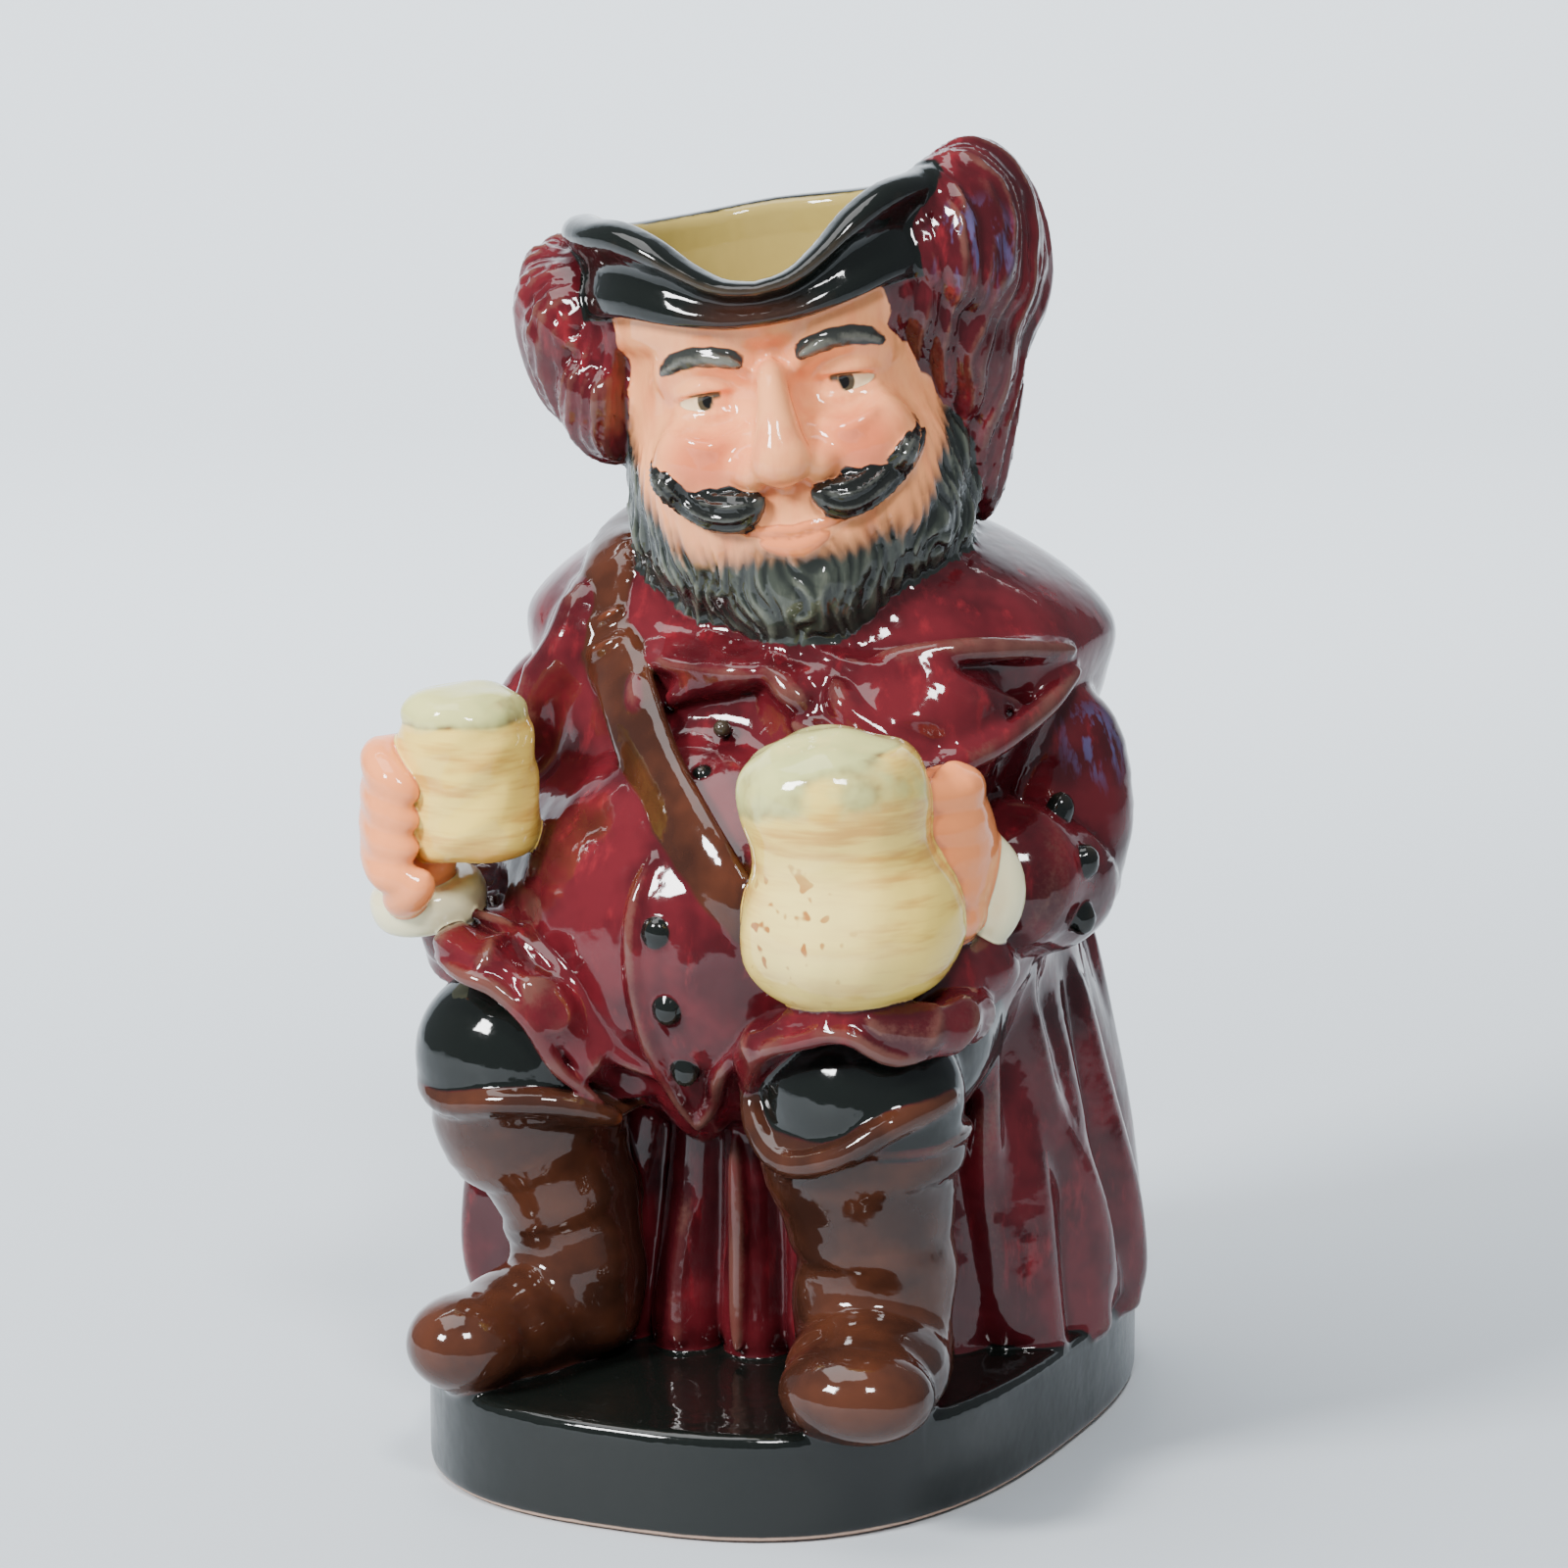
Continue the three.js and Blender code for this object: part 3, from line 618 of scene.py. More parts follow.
def skull_and_jaw():
    skull = egg(*SKULL, "skin", 2)
    jaw = egg(*JAW, "skin", 3, blunt=3.0)

    def beard(x, y, z):
        depth = step(-5, 6, beard_edge(x, y) - z)
        cheeks = step(-17, -3, beard_edge(x, y) - z) * step(8, 15, np.abs(x))
        curls = depth * (0.5 * ripple(x, y, z, 11, 35) + 0.2 * ripple(x, y, z, 5, 36))
        return (0.34 * depth + 0.24 * cheeks) * strands(x, y, z, 1.8, 31) + curls

    chin = egg([0, -23, -27], [11, 8, 8], "skin", 6)
    chin = chin.raised(lambda x, y, z: 0.4 * strands(x, y, z, 1.8, 31))
    round_brow = lambda x, y, z: soft_max(np.sqrt(x * x + y * y) - 27.4, np.abs(z - 19) - 4.5, 3)
    forehead = Form(round_brow, [-28, -28, 14], [28, 28, 24], "skin", 5)
    return [skull, jaw.raised(beard), chin, forehead]


def eye(side):
    """A calm eye under a brow: the ball in its socket, and a lid above and below it."""
    x, z, radius, y = side * EYE["x"], EYE["z"], EYE["radius"], EYE["sunk"]

    def lid(thick, tilt, up):
        across = math.radians(tilt)

        def distance(px, py, pz):
            gap = np.sqrt((px - x) ** 2 + (py - y) ** 2 + (pz - z) ** 2) - radius - thick
            level = (pz - z) * math.cos(across) + (py - y) * math.sin(across)
            return soft_max(gap, -up * level, 0.5)

        room = radius + thick
        return Form(distance, [x - room, y - room, z - room], [x + room, y + room, z + room], "skin", 0.8)

    ball = egg([x, y, z], [radius] * 3, "eye", 0.25)
    return [ball, lid(1.3, 15, 1), lid(0.9, -15, -1)]


def brow_bone(side):
    route = [[side * 3.5, *on_face(side * 3.5, 9)[1:], 2.6], [side * 10.5, *on_face(10.5, 12)[1:], 2.8]]
    return limb(route + [[side * 19, *on_face(side * 19, 9)[1:], 2.4]], "skin", 4)


def brow(side):
    places = [(4.4, 10.9, 0.6), (8.2, 12.4, 1.15), (13, 12.8, 1.05), (18, 10.8, 0.45)]
    route = [[*on_face(side * x, z, 3.3), size, 1.2] for x, z, size in places]
    hair = lambda t, turn, place: 0.14 * np.cos(30 * t + 4 * turn)
    return limb(route, "brow", 0.5, relief=hair)


def moustache(side):
    places = [(3.6, -9.8, 2.7), (8, -11.6, 3.4), (12.5, -11.2, 3.0)]
    places += [(16.8, -8.8, 2.5), (19.8, -5.6, 2.0), (21.2, -2.4, 1.5)]
    route = [[*on_face(side * x, z, 1.4), size, 0.5 + 0.6 * size] for x, z, size in places]
    hair = lambda t, turn, place: 0.34 * np.cos(9 * turn + 7 * t + 1.2 * np.sin(9 * t)) * step(0, 0.15, t)
    fork_places = [(15, -10.8, 1.3), (19.3, -8.4, 1.0), (22.4, -4.2, 0.5)]
    fork = [[*on_face(side * x, z, 0.9), size] for x, z, size in fork_places]
    return [limb(route, "ink", 0.8, blunt=3.5, relief=hair), limb(fork, "ink", 0.8, blunt=4)]


def nose_and_mouth():
    bridge = [[0, -26, 11, 2.6, 3.6], [0, -29, 4, 3, 4.4], [0, -32, -2.5, 4, 4.6], [0, -31, -7.5, 3.4, 3]]
    forms = [limb(bridge, "skin", 3), egg([0, -33, -4.4], [4.8, 4.0, 4.0], "skin", 2)]
    for side in (-1, 1):
        forms.append(egg([side * 5, -29.8, -5.8], [3.0, 3.6, 2.9], "skin", 1.2))
        forms.append(egg([side * CHEEK[0][0], *CHEEK[0][1:]], CHEEK[1], "skin", 5))
        under_eye = [on_face(side * x, z, 0.1) for x, z in ((6.5, 0.6), (11, -0.9), (15.5, 1.2))]
        forms.append(ridge(under_eye, 0.9, "skin"))
    upper_places = [(-8, -15.2), (-2.4, -15.4), (0, -15.8), (2.4, -15.4), (8, -15.2)]
    upper = [on_face(x, z, 0.4) for x, z in upper_places]
    lower = [on_face(x, z, 0.3) for x, z in ((-5.4, -17), (0, -18.2), (5.4, -17))]
    return forms + [ridge(upper, 0.6, "lips", 1.4), ridge(lower, 0.8, "lips", 1.6)]


def mouth_line():
    """The line between the lips."""
    places = [(-8.5, -15), (-4, -16.4), (0, -16.8), (4, -16.4), (8.5, -15)]
    return ridge([on_face(x, z, 1.2) for x, z in places], 0.55, None, 0.6)


# The brim: [degrees from the front, height of its rim, height of its lower edge], in the head's frame
RIM = [[0, 24, 17], [10, 25, 17.2], [20, 28, 17.8], [32, 32.5, 18.8], [45, 35.3, 20]]
RIM += [[65, 36, 20], [90, 35.8, 18], [120, 32, 15], [150, 30.8, 14], [180, 31, 14]]


def hat():
    """The turned-up brim: a rolled lip over a hollow band, and a lower edge that stands out."""
    top, bottom = columns(RIM)
    stand_out = smooth_run([-1, 0, 0.22, 0.5, 0.85, 1, 2], [0.6, 0.9, 0.9, -0.6, 2.4, 2.2, 2.2])

    def distance(x, y, z):
        from_front = np.degrees(np.arccos(np.clip(-y / np.sqrt(x * x + y * y + 1e-6), -1, 1)))
        high, low = top(from_front), bottom(from_front)
        rise = (z - low) / (high - low)
        side = rounded(x, y, BRIM["radius"], BRIM["radius"], 2) - stand_out(rise)
        return soft_max(soft_max(side, (z - high) * 0.9, 3), low - z, 1.8)

    crown = Form(distance, [-34, -34, 12], [34, 34, 40], "hat", 1.0)
    dents = [
        [[-17, -26.4, 26.5], [-13.5, -28.3, 24.5], [-9.5, -29.8, 22]],
        [[10, -29.8, 22], [14.5, -28, 24.8], [18.5, -25.4, 27.5]],
    ]
    return crown, [limb([[*p, 1.7, 1.2] for p in dent], None, 1.6, blunt=2) for dent in dents]


def plume_barbs(pole, tip, count, seed):
    """Barbs that run from pole to tip over the plume as meridians do, in uneven bunches."""
    pole, tip = np.array(pole, float), np.array(tip, float)
    axis = (tip - pole) / np.linalg.norm(tip - pole)
    side = np.cross(axis, [0, 0, 1.0])
    side /= np.linalg.norm(side)
    lift = np.cross(side, axis)

    def relief(t, turn, place):
        px, py, pz = (p - pole[i] for i, p in enumerate(place))
        u = px * side[0] + py * side[1] + pz * side[2]
        v = px * lift[0] + py * lift[1] + pz * lift[2]
        down = px * axis[0] + py * axis[1] + pz * axis[2]
        angle = np.arctan2(v, u) + 0.022 * down + 0.09 * ripple(*place, 19, seed)
        fine = np.cos(count * angle + 1.2 * ripple(*place, 9, seed + 1))
        return 0.28 * fine + 0.5 * np.cos(round(count / 3) * angle + 2)

    return relief


def plumes():
    """On each side a plume that lies along the brim, its tail beside the cheek, and its front edge."""
    right_route = [[-29.5, -4, 27, 9.5, 4.5], [-34, 0, 21.5, 13.5, 7.5], [-34.5, 9, 16, 16, 8]]
    right_route += [[-31, 18, 12, 13, 7], [-19, 26, 9, 8, 4]]
    left_route = [[21.5, -13, 28, 11, 6], [32, -8, 25, 15, 9], [35.5, 5, 20, 17.5, 9.5]]
    left_route += [[32, 20, 14, 14, 8], [19, 28, 10, 8, 4]]
    right_tail = [[-28, -4, 13, 7.5, 11], [-31, -3, 5, 6, 9.5], [-28.5, -2, -5, 3.5, 6]]
    left_tail = [[28.5, -7, 18, 9.5, 13.5], [31.5, -1, 5, 7.5, 11.5]]
    left_tail += [[30, 1, -10, 5, 8], [28.5, 0, -23, 3, 4]]
    right_front = [[-24, -11, 20, 3], [-27, -6.5, 15, 5], [-29, -5, 7, 6], [-29, -5, -1, 5]]
    left_front = [[17.5, -19, 22, 3], [23.5, -13, 15, 5.5], [27, -8, 6, 6], [28.5, -5, -5, 5]]
    right_barbs = plume_barbs([-22, -4, 48], [-26, -2, -22], 37, 41)
    left_barbs = plume_barbs([18, -8, 54], [27, 0, -38], 43, 51)
    return [
        limb(right_front, "plume", 2, relief=right_barbs),
        limb(left_front, "plume", 2, relief=left_barbs),
        limb(right_route, "plume", 3, facing=(-1, 0, 0), relief=right_barbs),
        limb(left_route, "plume", 3, facing=(1, 0, 0), relief=left_barbs),
        limb(right_tail, "plume", 3, relief=right_barbs),
        limb(left_tail, "plume", 3, relief=left_barbs),
    ]


def hair():
    """The hair at the back of the head, down to the collar."""
    nape = egg([0, 8, -3], [27.3, 24.3, 32], "beard", 2)
    return nape.raised(lambda x, y, z: 0.5 * strands(x, y, z, 2.6, 61))


def handle():
    route = [[0, 23, 175], [0, 42, 183], [0, 60, 172], [0, 66, 150], [0, 61, 124], [0, 44, 105]]
    stations = [[*at, HANDLE["half_thickness"], HANDLE["half_width"]] for at in route]
    return limb(stations, "coat", 2.5, facing=(1, 0, 0), blunt=10)


# The hollow of the body: [height, half width, reach forward, reach back]
HOLLOW = [
    [7, 43, 20, 46],
    [35, 41, 22, 44],
    [60, 38, 28, 40],
    [80, 36, 42, 35],
    [98, 35, 46, 32],
    [115, 35, 37, 31],
    [126, 33, 29, 27],
    [136, 25, 26, 20],
    [146, 20, 28, 11],
    [158, 19, 31, 8],
]


def body_hollow():
    low, high = HOLLOW[0][0], HOLLOW[-1][0]
    return lofted(HOLLOW, 2.2, 4, ([-45, -36, low], [45, 60, high]), "inside", 4)


def head_hollow():
    skull = egg([0, 1, -3], [21.5, 21.5, 23], "inside", 4)
    low, high = 2, 48

    def mouth_distance(x, y, z):
        rise = np.clip((z - low) / (high - low), 0, 1)
        throat = 0.8 + 0.2 * np.minimum(1, rise * 2)
        radius = (BRIM["radius"] - WALL - (BRIM["lip"] - WALL) * rise) * throat
        return soft_max(np.sqrt(x * x + y * y) - radius, low - z, 3)

    mouth = Form(mouth_distance, [-27, -27, low], [27, 27, high], "inside", 2.2)
    return [on_head(skull), on_head(mouth)]


# The clay


class Clay:
    """A grid of distances to the surface of everything added so far."""

    def __init__(self, low, high):
        self.low = np.array(low, float)
        counts = np.ceil((np.array(high) - self.low) / VOXEL).astype(int) + 1
        self.axes = [(self.low[i] + VOXEL * np.arange(counts[i])).astype(np.float32) for i in range(3)]
        self.field = np.full(counts, FAR, np.float32)

    def window(self, form):
        """The part of the grid round a form, as slices and as its three open axes."""
        room = form.blend + BAND
        first = np.clip(((form.low - room - self.low) / VOXEL).astype(int), 0, None)
        last = np.ceil((form.high + room - self.low) / VOXEL).astype(int) + 1
        slices = tuple(slice(a, b) for a, b in zip(first, last))
        x, y, z = (axis[s] for axis, s in zip(self.axes, slices))
        return slices, (x[:, None, None], y[None, :, None], z[None, None, :])

    def add(self, form):
        slices, place = self.window(form)
        self.field[slices] = soft_min(self.field[slices], form.distance(*place), form.blend)

    def cut(self, form):
        slices, place = self.window(form)
        self.field[slices] = soft_max(self.field[slices], -form.distance(*place), form.blend)

    def smoothed(self, reach):
        """The field averaged over a cube of about twice the reach."""
        size = max(1, int(round(reach / VOXEL)))
        field = np.clip(self.field, -BAND * 2, BAND * 2)
        for axis in range(3):
            room = [(0, 0)] * 3
            room[axis] = (size + 1, size)
            sums = np.cumsum(np.pad(field, room, "edge"), axis)
            ahead = np.take(sums, range(2 * size + 1, sums.shape[axis]), axis)
            behind = np.take(sums, range(0, sums.shape[axis] - 2 * size - 1), axis)
            field = (ahead - behind) / (2 * size + 1)
        return field

    def sample(self, field, places):
        """The field's value at each place, blended from the eight grid points round it."""
        spot = (places - self.low) / VOXEL
        cell = np.clip(np.floor(spot).astype(int), 0, np.array(field.shape) - 2)
        share = (spot - cell).astype(np.float32)
        total = np.zeros(len(places), np.float32)
        for corner in np.ndindex(2, 2, 2):
            weight = np.prod(np.where(corner, share, 1 - share), axis=1)
            total += weight * field[tuple((cell + corner).T)]
        return total

    def normals(self, places):
        """The direction in which the distance grows at each place."""
        ahead, behind = (
            np.stack([self.sample(self.field, places + sign * shift) for shift in np.eye(3) * VOXEL * 0.8], 1)
            for sign in (1, -1)
        )
        slope = ahead - behind
        return slope / (np.linalg.norm(slope, axis=1)[:, None] + 1e-9)

    def skin(self):
        """Vertices and triangles of the surface."""
        grid = openvdb.FloatGrid(BAND)
        grid.copyFromArray(np.clip(self.field, -BAND, BAND))
        points, triangles, quads = grid.convertToPolygons(0.0, 0.0)
        faces = [triangles.astype(int)] if len(triangles) else []
        faces += [quads[:, [0, 1, 2]].astype(int), quads[:, [0, 2, 3]].astype(int)]
        return points * VOXEL + self.low, np.concatenate(faces)


def sculpted():
    """All forms that are added, all that are cut out, and the clay they make."""
    crown, dents = hat()
    head_forms = skull_and_jaw() + [brow_bone(-1), brow_bone(1)] + nose_and_mouth()
    socket = lambda side: egg([side * 10.5, -26.5, 5.5], [7, 4.6, 4.6], None, 2.5)
    nostril = lambda side: egg([side * 2.5, -31.8, -8.6], [1.4, 1.8, 1.3], None, 0.6)
    clay = Clay([-62, -76, -UNDER], [62, 76, 219])
    body = [base(), coat(), *long_folds(), *cloak(), *belly(), *cape(), *hems()]
    body += [*leg(*RIGHT_LEG), *leg(*LEFT_LEG), *boot_rims(), *belt()]
    body += [*right_arm(), *left_arm(), *small_mug(), *large_mug(), *buttons(), handle()]
    head = [on_head(form) for form in [*head_forms, hair()]]
    for form in body + head:
        clay.add(form)
    for side in (-1, 1):
        clay.cut(on_head(socket(side)))
        clay.cut(on_head(nostril(side)))
    clay.cut(on_head(mouth_line()))
    late = [part for side in (-1, 1) for part in [*eye(side), brow(side), *moustache(side)]]
    late = [on_head(form) for form in [*late, crown, *plumes()]]
    for form in late:
        clay.add(form)
    for dent in dents:
        clay.cut(on_head(dent))
    hollows = [body_hollow(), *head_hollow()]
    for form in hollows:
        clay.cut(form)
    return clay, body + head + late, hollows


def linked(name, data):
    """A new object in the scene that holds the data."""
    made = bpy.data.objects.new(name, data)
    bpy.context.scene.collection.objects.link(made)
    return made


def decimated(points, triangles):
    """The skin with fewer triangles where it is flat, as vertices and triangles."""
    mesh = bpy.data.meshes.new("raw_clay")
    mesh.from_pydata(points.tolist(), [], triangles.tolist())
    raw = linked("raw_clay", mesh)
    raw.modifiers.new("fewer", "DECIMATE").ratio = min(1, TRIANGLES / len(triangles))
    evaluated = raw.evaluated_get(bpy.context.evaluated_depsgraph_get()).to_mesh()
    places = np.zeros(len(evaluated.vertices) * 3, np.float32)
    evaluated.vertices.foreach_get("co", places)
    evaluated.calc_loop_triangles()
    faces = np.zeros(len(evaluated.loop_triangles) * 3, np.int32)
    evaluated.loop_triangles.foreach_get("vertices", faces)
    raw.to_mesh_clear()
    bpy.data.objects.remove(raw)
    bpy.data.meshes.remove(mesh)
    return places.reshape(-1, 3).astype(float), faces.reshape(-1, 3)


def paint_margins(forms, hollows, places):
    """For each paint, how far each place lies inside its area: above zero inside, below outside."""
    nearest = {}
    for form in forms:
        inside = (places > form.low - PAINT_ROOM) & (places < form.high + PAINT_ROOM)
        inside = inside.all(1)
        gaps = np.full(len(places), NO_PAINT, np.float32)
        if inside.any():
            gaps[inside] = form.distance(*places[inside].T.astype(np.float32))
        nearest[form.paint] = np.minimum(nearest.get(form.paint, NO_PAINT), gaps)
    margins = {}
    for paint in nearest:
        others = np.minimum.reduce([gaps for other, gaps in nearest.items() if other != paint])
        margins[paint] = np.clip(others - nearest[paint], -MOST_MARGIN, MOST_MARGIN)
    hollow = np.minimum.reduce([form.distance(*places.T.astype(np.float32)) for form in hollows])
    margins["inside"] = np.clip(0.9 - hollow, -MOST_MARGIN, MOST_MARGIN)
    return margins


def beard_margin(places):
    """How far each place lies below the beard's upper edge, in millimetres."""
    local = (places - np.array(HEAD["centre"])) @ HEAD_TURN
    return np.clip(beard_edge(local[:, 0], local[:, 1]) - local[:, 2], -MOST_BEARD, MOST_BEARD)


def jug_piece():
    clay, forms, hollows = sculpted()
    places, triangles = decimated(*clay.skin())
    margins = paint_margins(forms, hollows, places)
    margins["beard_depth"] = beard_margin(places)
    for name, reach in (("ridge_fine", 1.3), ("ridge_broad", 3.5)):
        margins[name] = clay.sample(clay.smoothed(reach), places) - clay.sample(clay.field, places)
    normals = clay.normals(places)
    low, high = (np.array(corner) / MM for corner in cad_box)
    places = np.clip(places, low, high)
    mesh = bpy.data.meshes.new("glazed_jug")
    mesh.from_pydata((places * MM).tolist(), [], triangles.tolist())
    for name, values in margins.items():
        data = mesh.attributes.new(name, "FLOAT", "POINT").data
        data.foreach_set("value", np.ascontiguousarray(values, np.float32))
    mesh.shade_smooth()
    mesh.normals_split_custom_set_from_vertices(normals.tolist())
    return linked("glazed_jug", mesh)


# The glaze


class Glaze:
    """Builds one node material out of sockets, numbers and colours."""

    def __init__(self, name):
        self.material = bpy.data.materials.new(name)
        self.material.use_nodes = True
        self.tree = self.material.node_tree
        self.tree.nodes.clear()
        self.ridge = self.kept("ridge_fine")

    def node(self, kind, inputs=None, **settings):
        made = self.tree.nodes.new("ShaderNode" + kind)
        for name, value in settings.items():
            setattr(made, name, value)
        for key, value in (inputs or {}).items():
            self.plug(made.inputs[key], value)
        return made

    def plug(self, socket, value):
        if isinstance(value, bpy.types.NodeSocket):
            self.tree.links.new(value, socket)
        else:
            socket.default_value = (*value, 1) if socket.type == "RGBA" else value

    def math(self, operation, *values):
        return self.node("Math", dict(enumerate(values)), operation=operation).outputs[0]

    def vector(self, operation, *values):
        return self.node("VectorMath", dict(enumerate(values)), operation=operation)

    def times(self, first, second):
        return self.math("MULTIPLY", first, second)

    def varied(self, value, noise, amount):
        """The value, moved up and down by the noise, which lies round a half."""
        return self.math("MULTIPLY_ADD", self.math("SUBTRACT", noise, 0.5), amount, value)

    def mix(self, share, first, second, blend="MIX"):
        made = self.node("Mix", {0: share, 6: first, 7: second}, data_type="RGBA", blend_type=blend)
        return made.outputs[2]

    def ramp(self, value, low, high, first=0.0, last=1.0):
        inputs = {"Value": value, "From Min": low, "From Max": high, "To Min": first, "To Max": last}
        return self.node("MapRange", inputs, interpolation_type="SMOOTHSTEP").outputs[0]

    def kept(self, name):
        return self.node("Attribute", attribute_name=name).outputs["Fac"]

    def place(self):
        return self.node("TexCoord").outputs["Object"]

    def stretched(self, scale, turn=(0, 0, 0)):
        inputs = {"Vector": self.place(), "Scale": scale, "Rotation": turn}
        return self.node("Mapping", inputs).outputs[0]

    def noise(self, size, detail=2.0, rough=0.5, vector=None):
        inputs = {"Scale": 1 / (size * MM), "Detail": detail, "Roughness": rough}
        inputs["Vector"] = vector or self.place()
        return self.node("TexNoise", inputs).outputs["Fac"]

    def near(self, spot, inner, outer, scale=(1, 1, 1)):
        """1 within inner millimetres of a place, falling to 0 at outer."""
        apart = self.vector("SUBTRACT", self.place(), [v * MM for v in spot]).outputs[0]
        apart = self.vector("MULTIPLY", apart, scale).outputs[0]
        length = self.vector("LENGTH", apart).outputs["Value"]
        return self.ramp(length, inner * MM, outer * MM, 1.0, 0.0)

    def area(self, paint, soft, wobble=0.5, amount=0.0):
        """1 inside a painted area, with an edge that fades over soft millimetres to each side."""
        return self.ramp(self.varied(self.kept(paint), wobble, amount), -soft, soft)


# Albedos of the glazes, which look lighter under the scene's bright lights
BURGUNDY = {"deep": (0.045, 0.0045, 0.007), "main": (0.1, 0.009, 0.0135), "bright": (0.2, 0.0135, 0.02)}
THIN_BURGUNDY = (0.12, 0.05, 0.038)
BLOOM = (0.09, 0.09, 0.21)
BROWN = {"deep": (0.03, 0.011, 0.007), "main": (0.066, 0.021, 0.0105), "bright": (0.15, 0.036, 0.01)}
BELT = {"deep": (0.028, 0.009, 0.005), "main": (0.065, 0.019, 0.009), "bright": (0.17, 0.04, 0.012)}
BLACK = {"main": (0.005, 0.0065, 0.0055), "thin": (0.055, 0.04, 0.026)}
SKIN = {"main": (0.92, 0.36, 0.145), "blush": (0.74, 0.165, 0.065), "crease": (0.55, 0.15, 0.06)}
HAND = (0.9, 0.29, 0.1)
# Each pale hair tone is grey strokes on the hair's ridges, and partly painted highlights on the strands
BEARD = {"deep": (0.016, 0.019, 0.017), "main": (0.04, 0.047, 0.038), "pale": (0.13, 0.14, 0.11)}
INK = {"main": (0.009, 0.01, 0.009), "pale": (0.11, 0.115, 0.1)}
BROW = {"main": (0.028, 0.03, 0.027), "pale": (0.12, 0.12, 0.1)}
CREAM = (0.88, 0.82, 0.5)
# clear is the lighter cream of a painted highlight on the front of the large mug's bulb
MUG_GLAZE_AND_HIGHLIGHT = {"main": (0.86, 0.62, 0.135), "clear": (0.88, 0.72, 0.25)}
MUG_MARKS = {"streak": (0.6, 0.3, 0.055), "speck": (0.4, 0.16, 0.04)}
FOAM = {"main": (0.62, 0.61, 0.23), "shade": (0.48, 0.5, 0.19)}
# The inside's glaze, and the darker painted shade it turns to deeper inside the head
INSIDE_WITH_SHADE = {"main": (0.66, 0.55, 0.17), "deep": (0.3, 0.22, 0.06)}
CLAY = (0.6, 0.4, 0.3)
LIPS = (0.82, 0.24, 0.085)
EYE_WHITE = (0.8, 0.6, 0.34)
IRIS = (0.06, 0.05, 0.03)
PUPIL = (0.006, 0.006, 0.006)

# Red patches of the face: [x, height, size, strength], in the head's frame
BLUSHES = [[-13, -3, 8, 0.9], [13, -3, 8, 0.9], [0, -5, 5.5, 0.5], [0, 9, 6, 0.25]]
# What the glaze is like all over: its dimples in millimetres, and its roughness
DIMPLES = {"strength": 0.28, "depth": 0.7, "small": 1.8, "large": 6}
ROUGH = {"least": 0.05, "most": 0.1, "base_side": 0.16, "bare_clay": 0.6}
IOR = 1.49


def cloth_colour(g, patch, streak, speckle):
    """Burgundy glaze: mottled, brighter where brushed, brown-grey where it runs thin on ridges."""
    colour = g.mix(g.ramp(patch, 0.38, 0.62), BURGUNDY["deep"], BURGUNDY["main"])
    colour = g.mix(g.ramp(streak, 0.54, 0.76, 0, 0.7), colour, BURGUNDY["bright"])
    crest = g.math("ADD", g.ridge, g.times(g.kept("ridge_broad"), 0.2))
    crest = g.varied(crest, speckle, 0.3)
    thin = g.times(g.ramp(crest, 0.16, 0.5, 0, 0.8), g.ramp(g.noise(11, 2), 0.36, 0.56, 0.2, 1))
    colour = g.mix(thin, colour, THIN_BURGUNDY)
    colour = g.mix(g.ramp(g.ridge, -0.3, -0.04, 0.75, 0), colour, BURGUNDY["deep"])
    bloom = g.math("MAXIMUM", g.near((57, 1, 120), 4, 12), g.near((39, -9, 199), 5, 13))
    veil = g.noise(5, 3, 0.6, g.stretched((2.2, 2.2, 0.35)))
    return g.mix(g.times(bloom, g.ramp(veil, 0.5, 0.62, 0, 0.8)), colour, BLOOM)


def leather_colour(g, tones, patch, streak):
    """Brown glaze, orange on the ridges and dark in the hollows."""
    colour = g.mix(g.ramp(patch, 0.35, 0.65), tones["deep"], tones["main"])
    colour = g.mix(g.ramp(g.varied(g.ridge, streak, 0.5), 0.24, 0.55, 0, 0.7), colour, tones["bright"])
    return g.mix(g.ramp(g.ridge, -0.25, -0.03, 0.7, 0), colour, tones["deep"])


def black_colour(g, streak):
    return g.mix(g.ramp(g.varied(g.ridge, streak, 0.3), 0.2, 0.5, 0, 0.7), BLACK["main"], BLACK["thin"])


def hat_colour(g, black, patch):
    """Black, and brown in patches at the front of the brim."""
    front = g.near(head_place(0, -31, 18), 4, 15, (1, 1, 2.2))
    return g.mix(g.times(front, g.ramp(patch, 0.35, 0.6, 0.4, 0.9)), black, BROWN["deep"])


def skin_colour(g, patch, streak, beard):
    """Flesh tint on face and hands, red on the cheeks, fading into the beard on the jaw."""
    face = g.mix(g.ramp(streak, 0.4, 0.72, 0, 0.42), SKIN["main"], SKIN["blush"])
    for x, z, size, strength in BLUSHES:
        spot = g.near(head_place(x, face_front(x, z), z), size * 0.2, size * 1.25)
        face = g.mix(g.times(spot, strength), face, SKIN["blush"])
    face = g.mix(g.ramp(g.ridge, -0.35, -0.1, 0.3, 0), face, SKIN["crease"])
    hand = g.mix(g.ramp(g.ridge, -0.22, -0.03, 0.6, 0), HAND, SKIN["crease"])
    depth = g.kept("beard_depth")
    fade = g.math("MULTIPLY_ADD", g.ridge, -5, g.varied(depth, patch, 7))
    bearded = g.math("MAXIMUM", g.ramp(fade, -3.2, 3.2), g.ramp(depth, 4, 7))
    return g.mix(g.near(HEAD["centre"], 52, 56), hand, g.mix(bearded, face, beard))


def beard_colour(g, streak):
    colour = g.mix(g.ramp(g.ridge, -0.12, 0.16), BEARD["deep"], BEARD["main"])
    # Pale on the strands' ridges: grey strokes, and partly painted highlights
    return g.mix(g.ramp(g.varied(g.ridge, streak, 1.1), 0.08, 0.42, 0, 0.7), colour, BEARD["pale"])


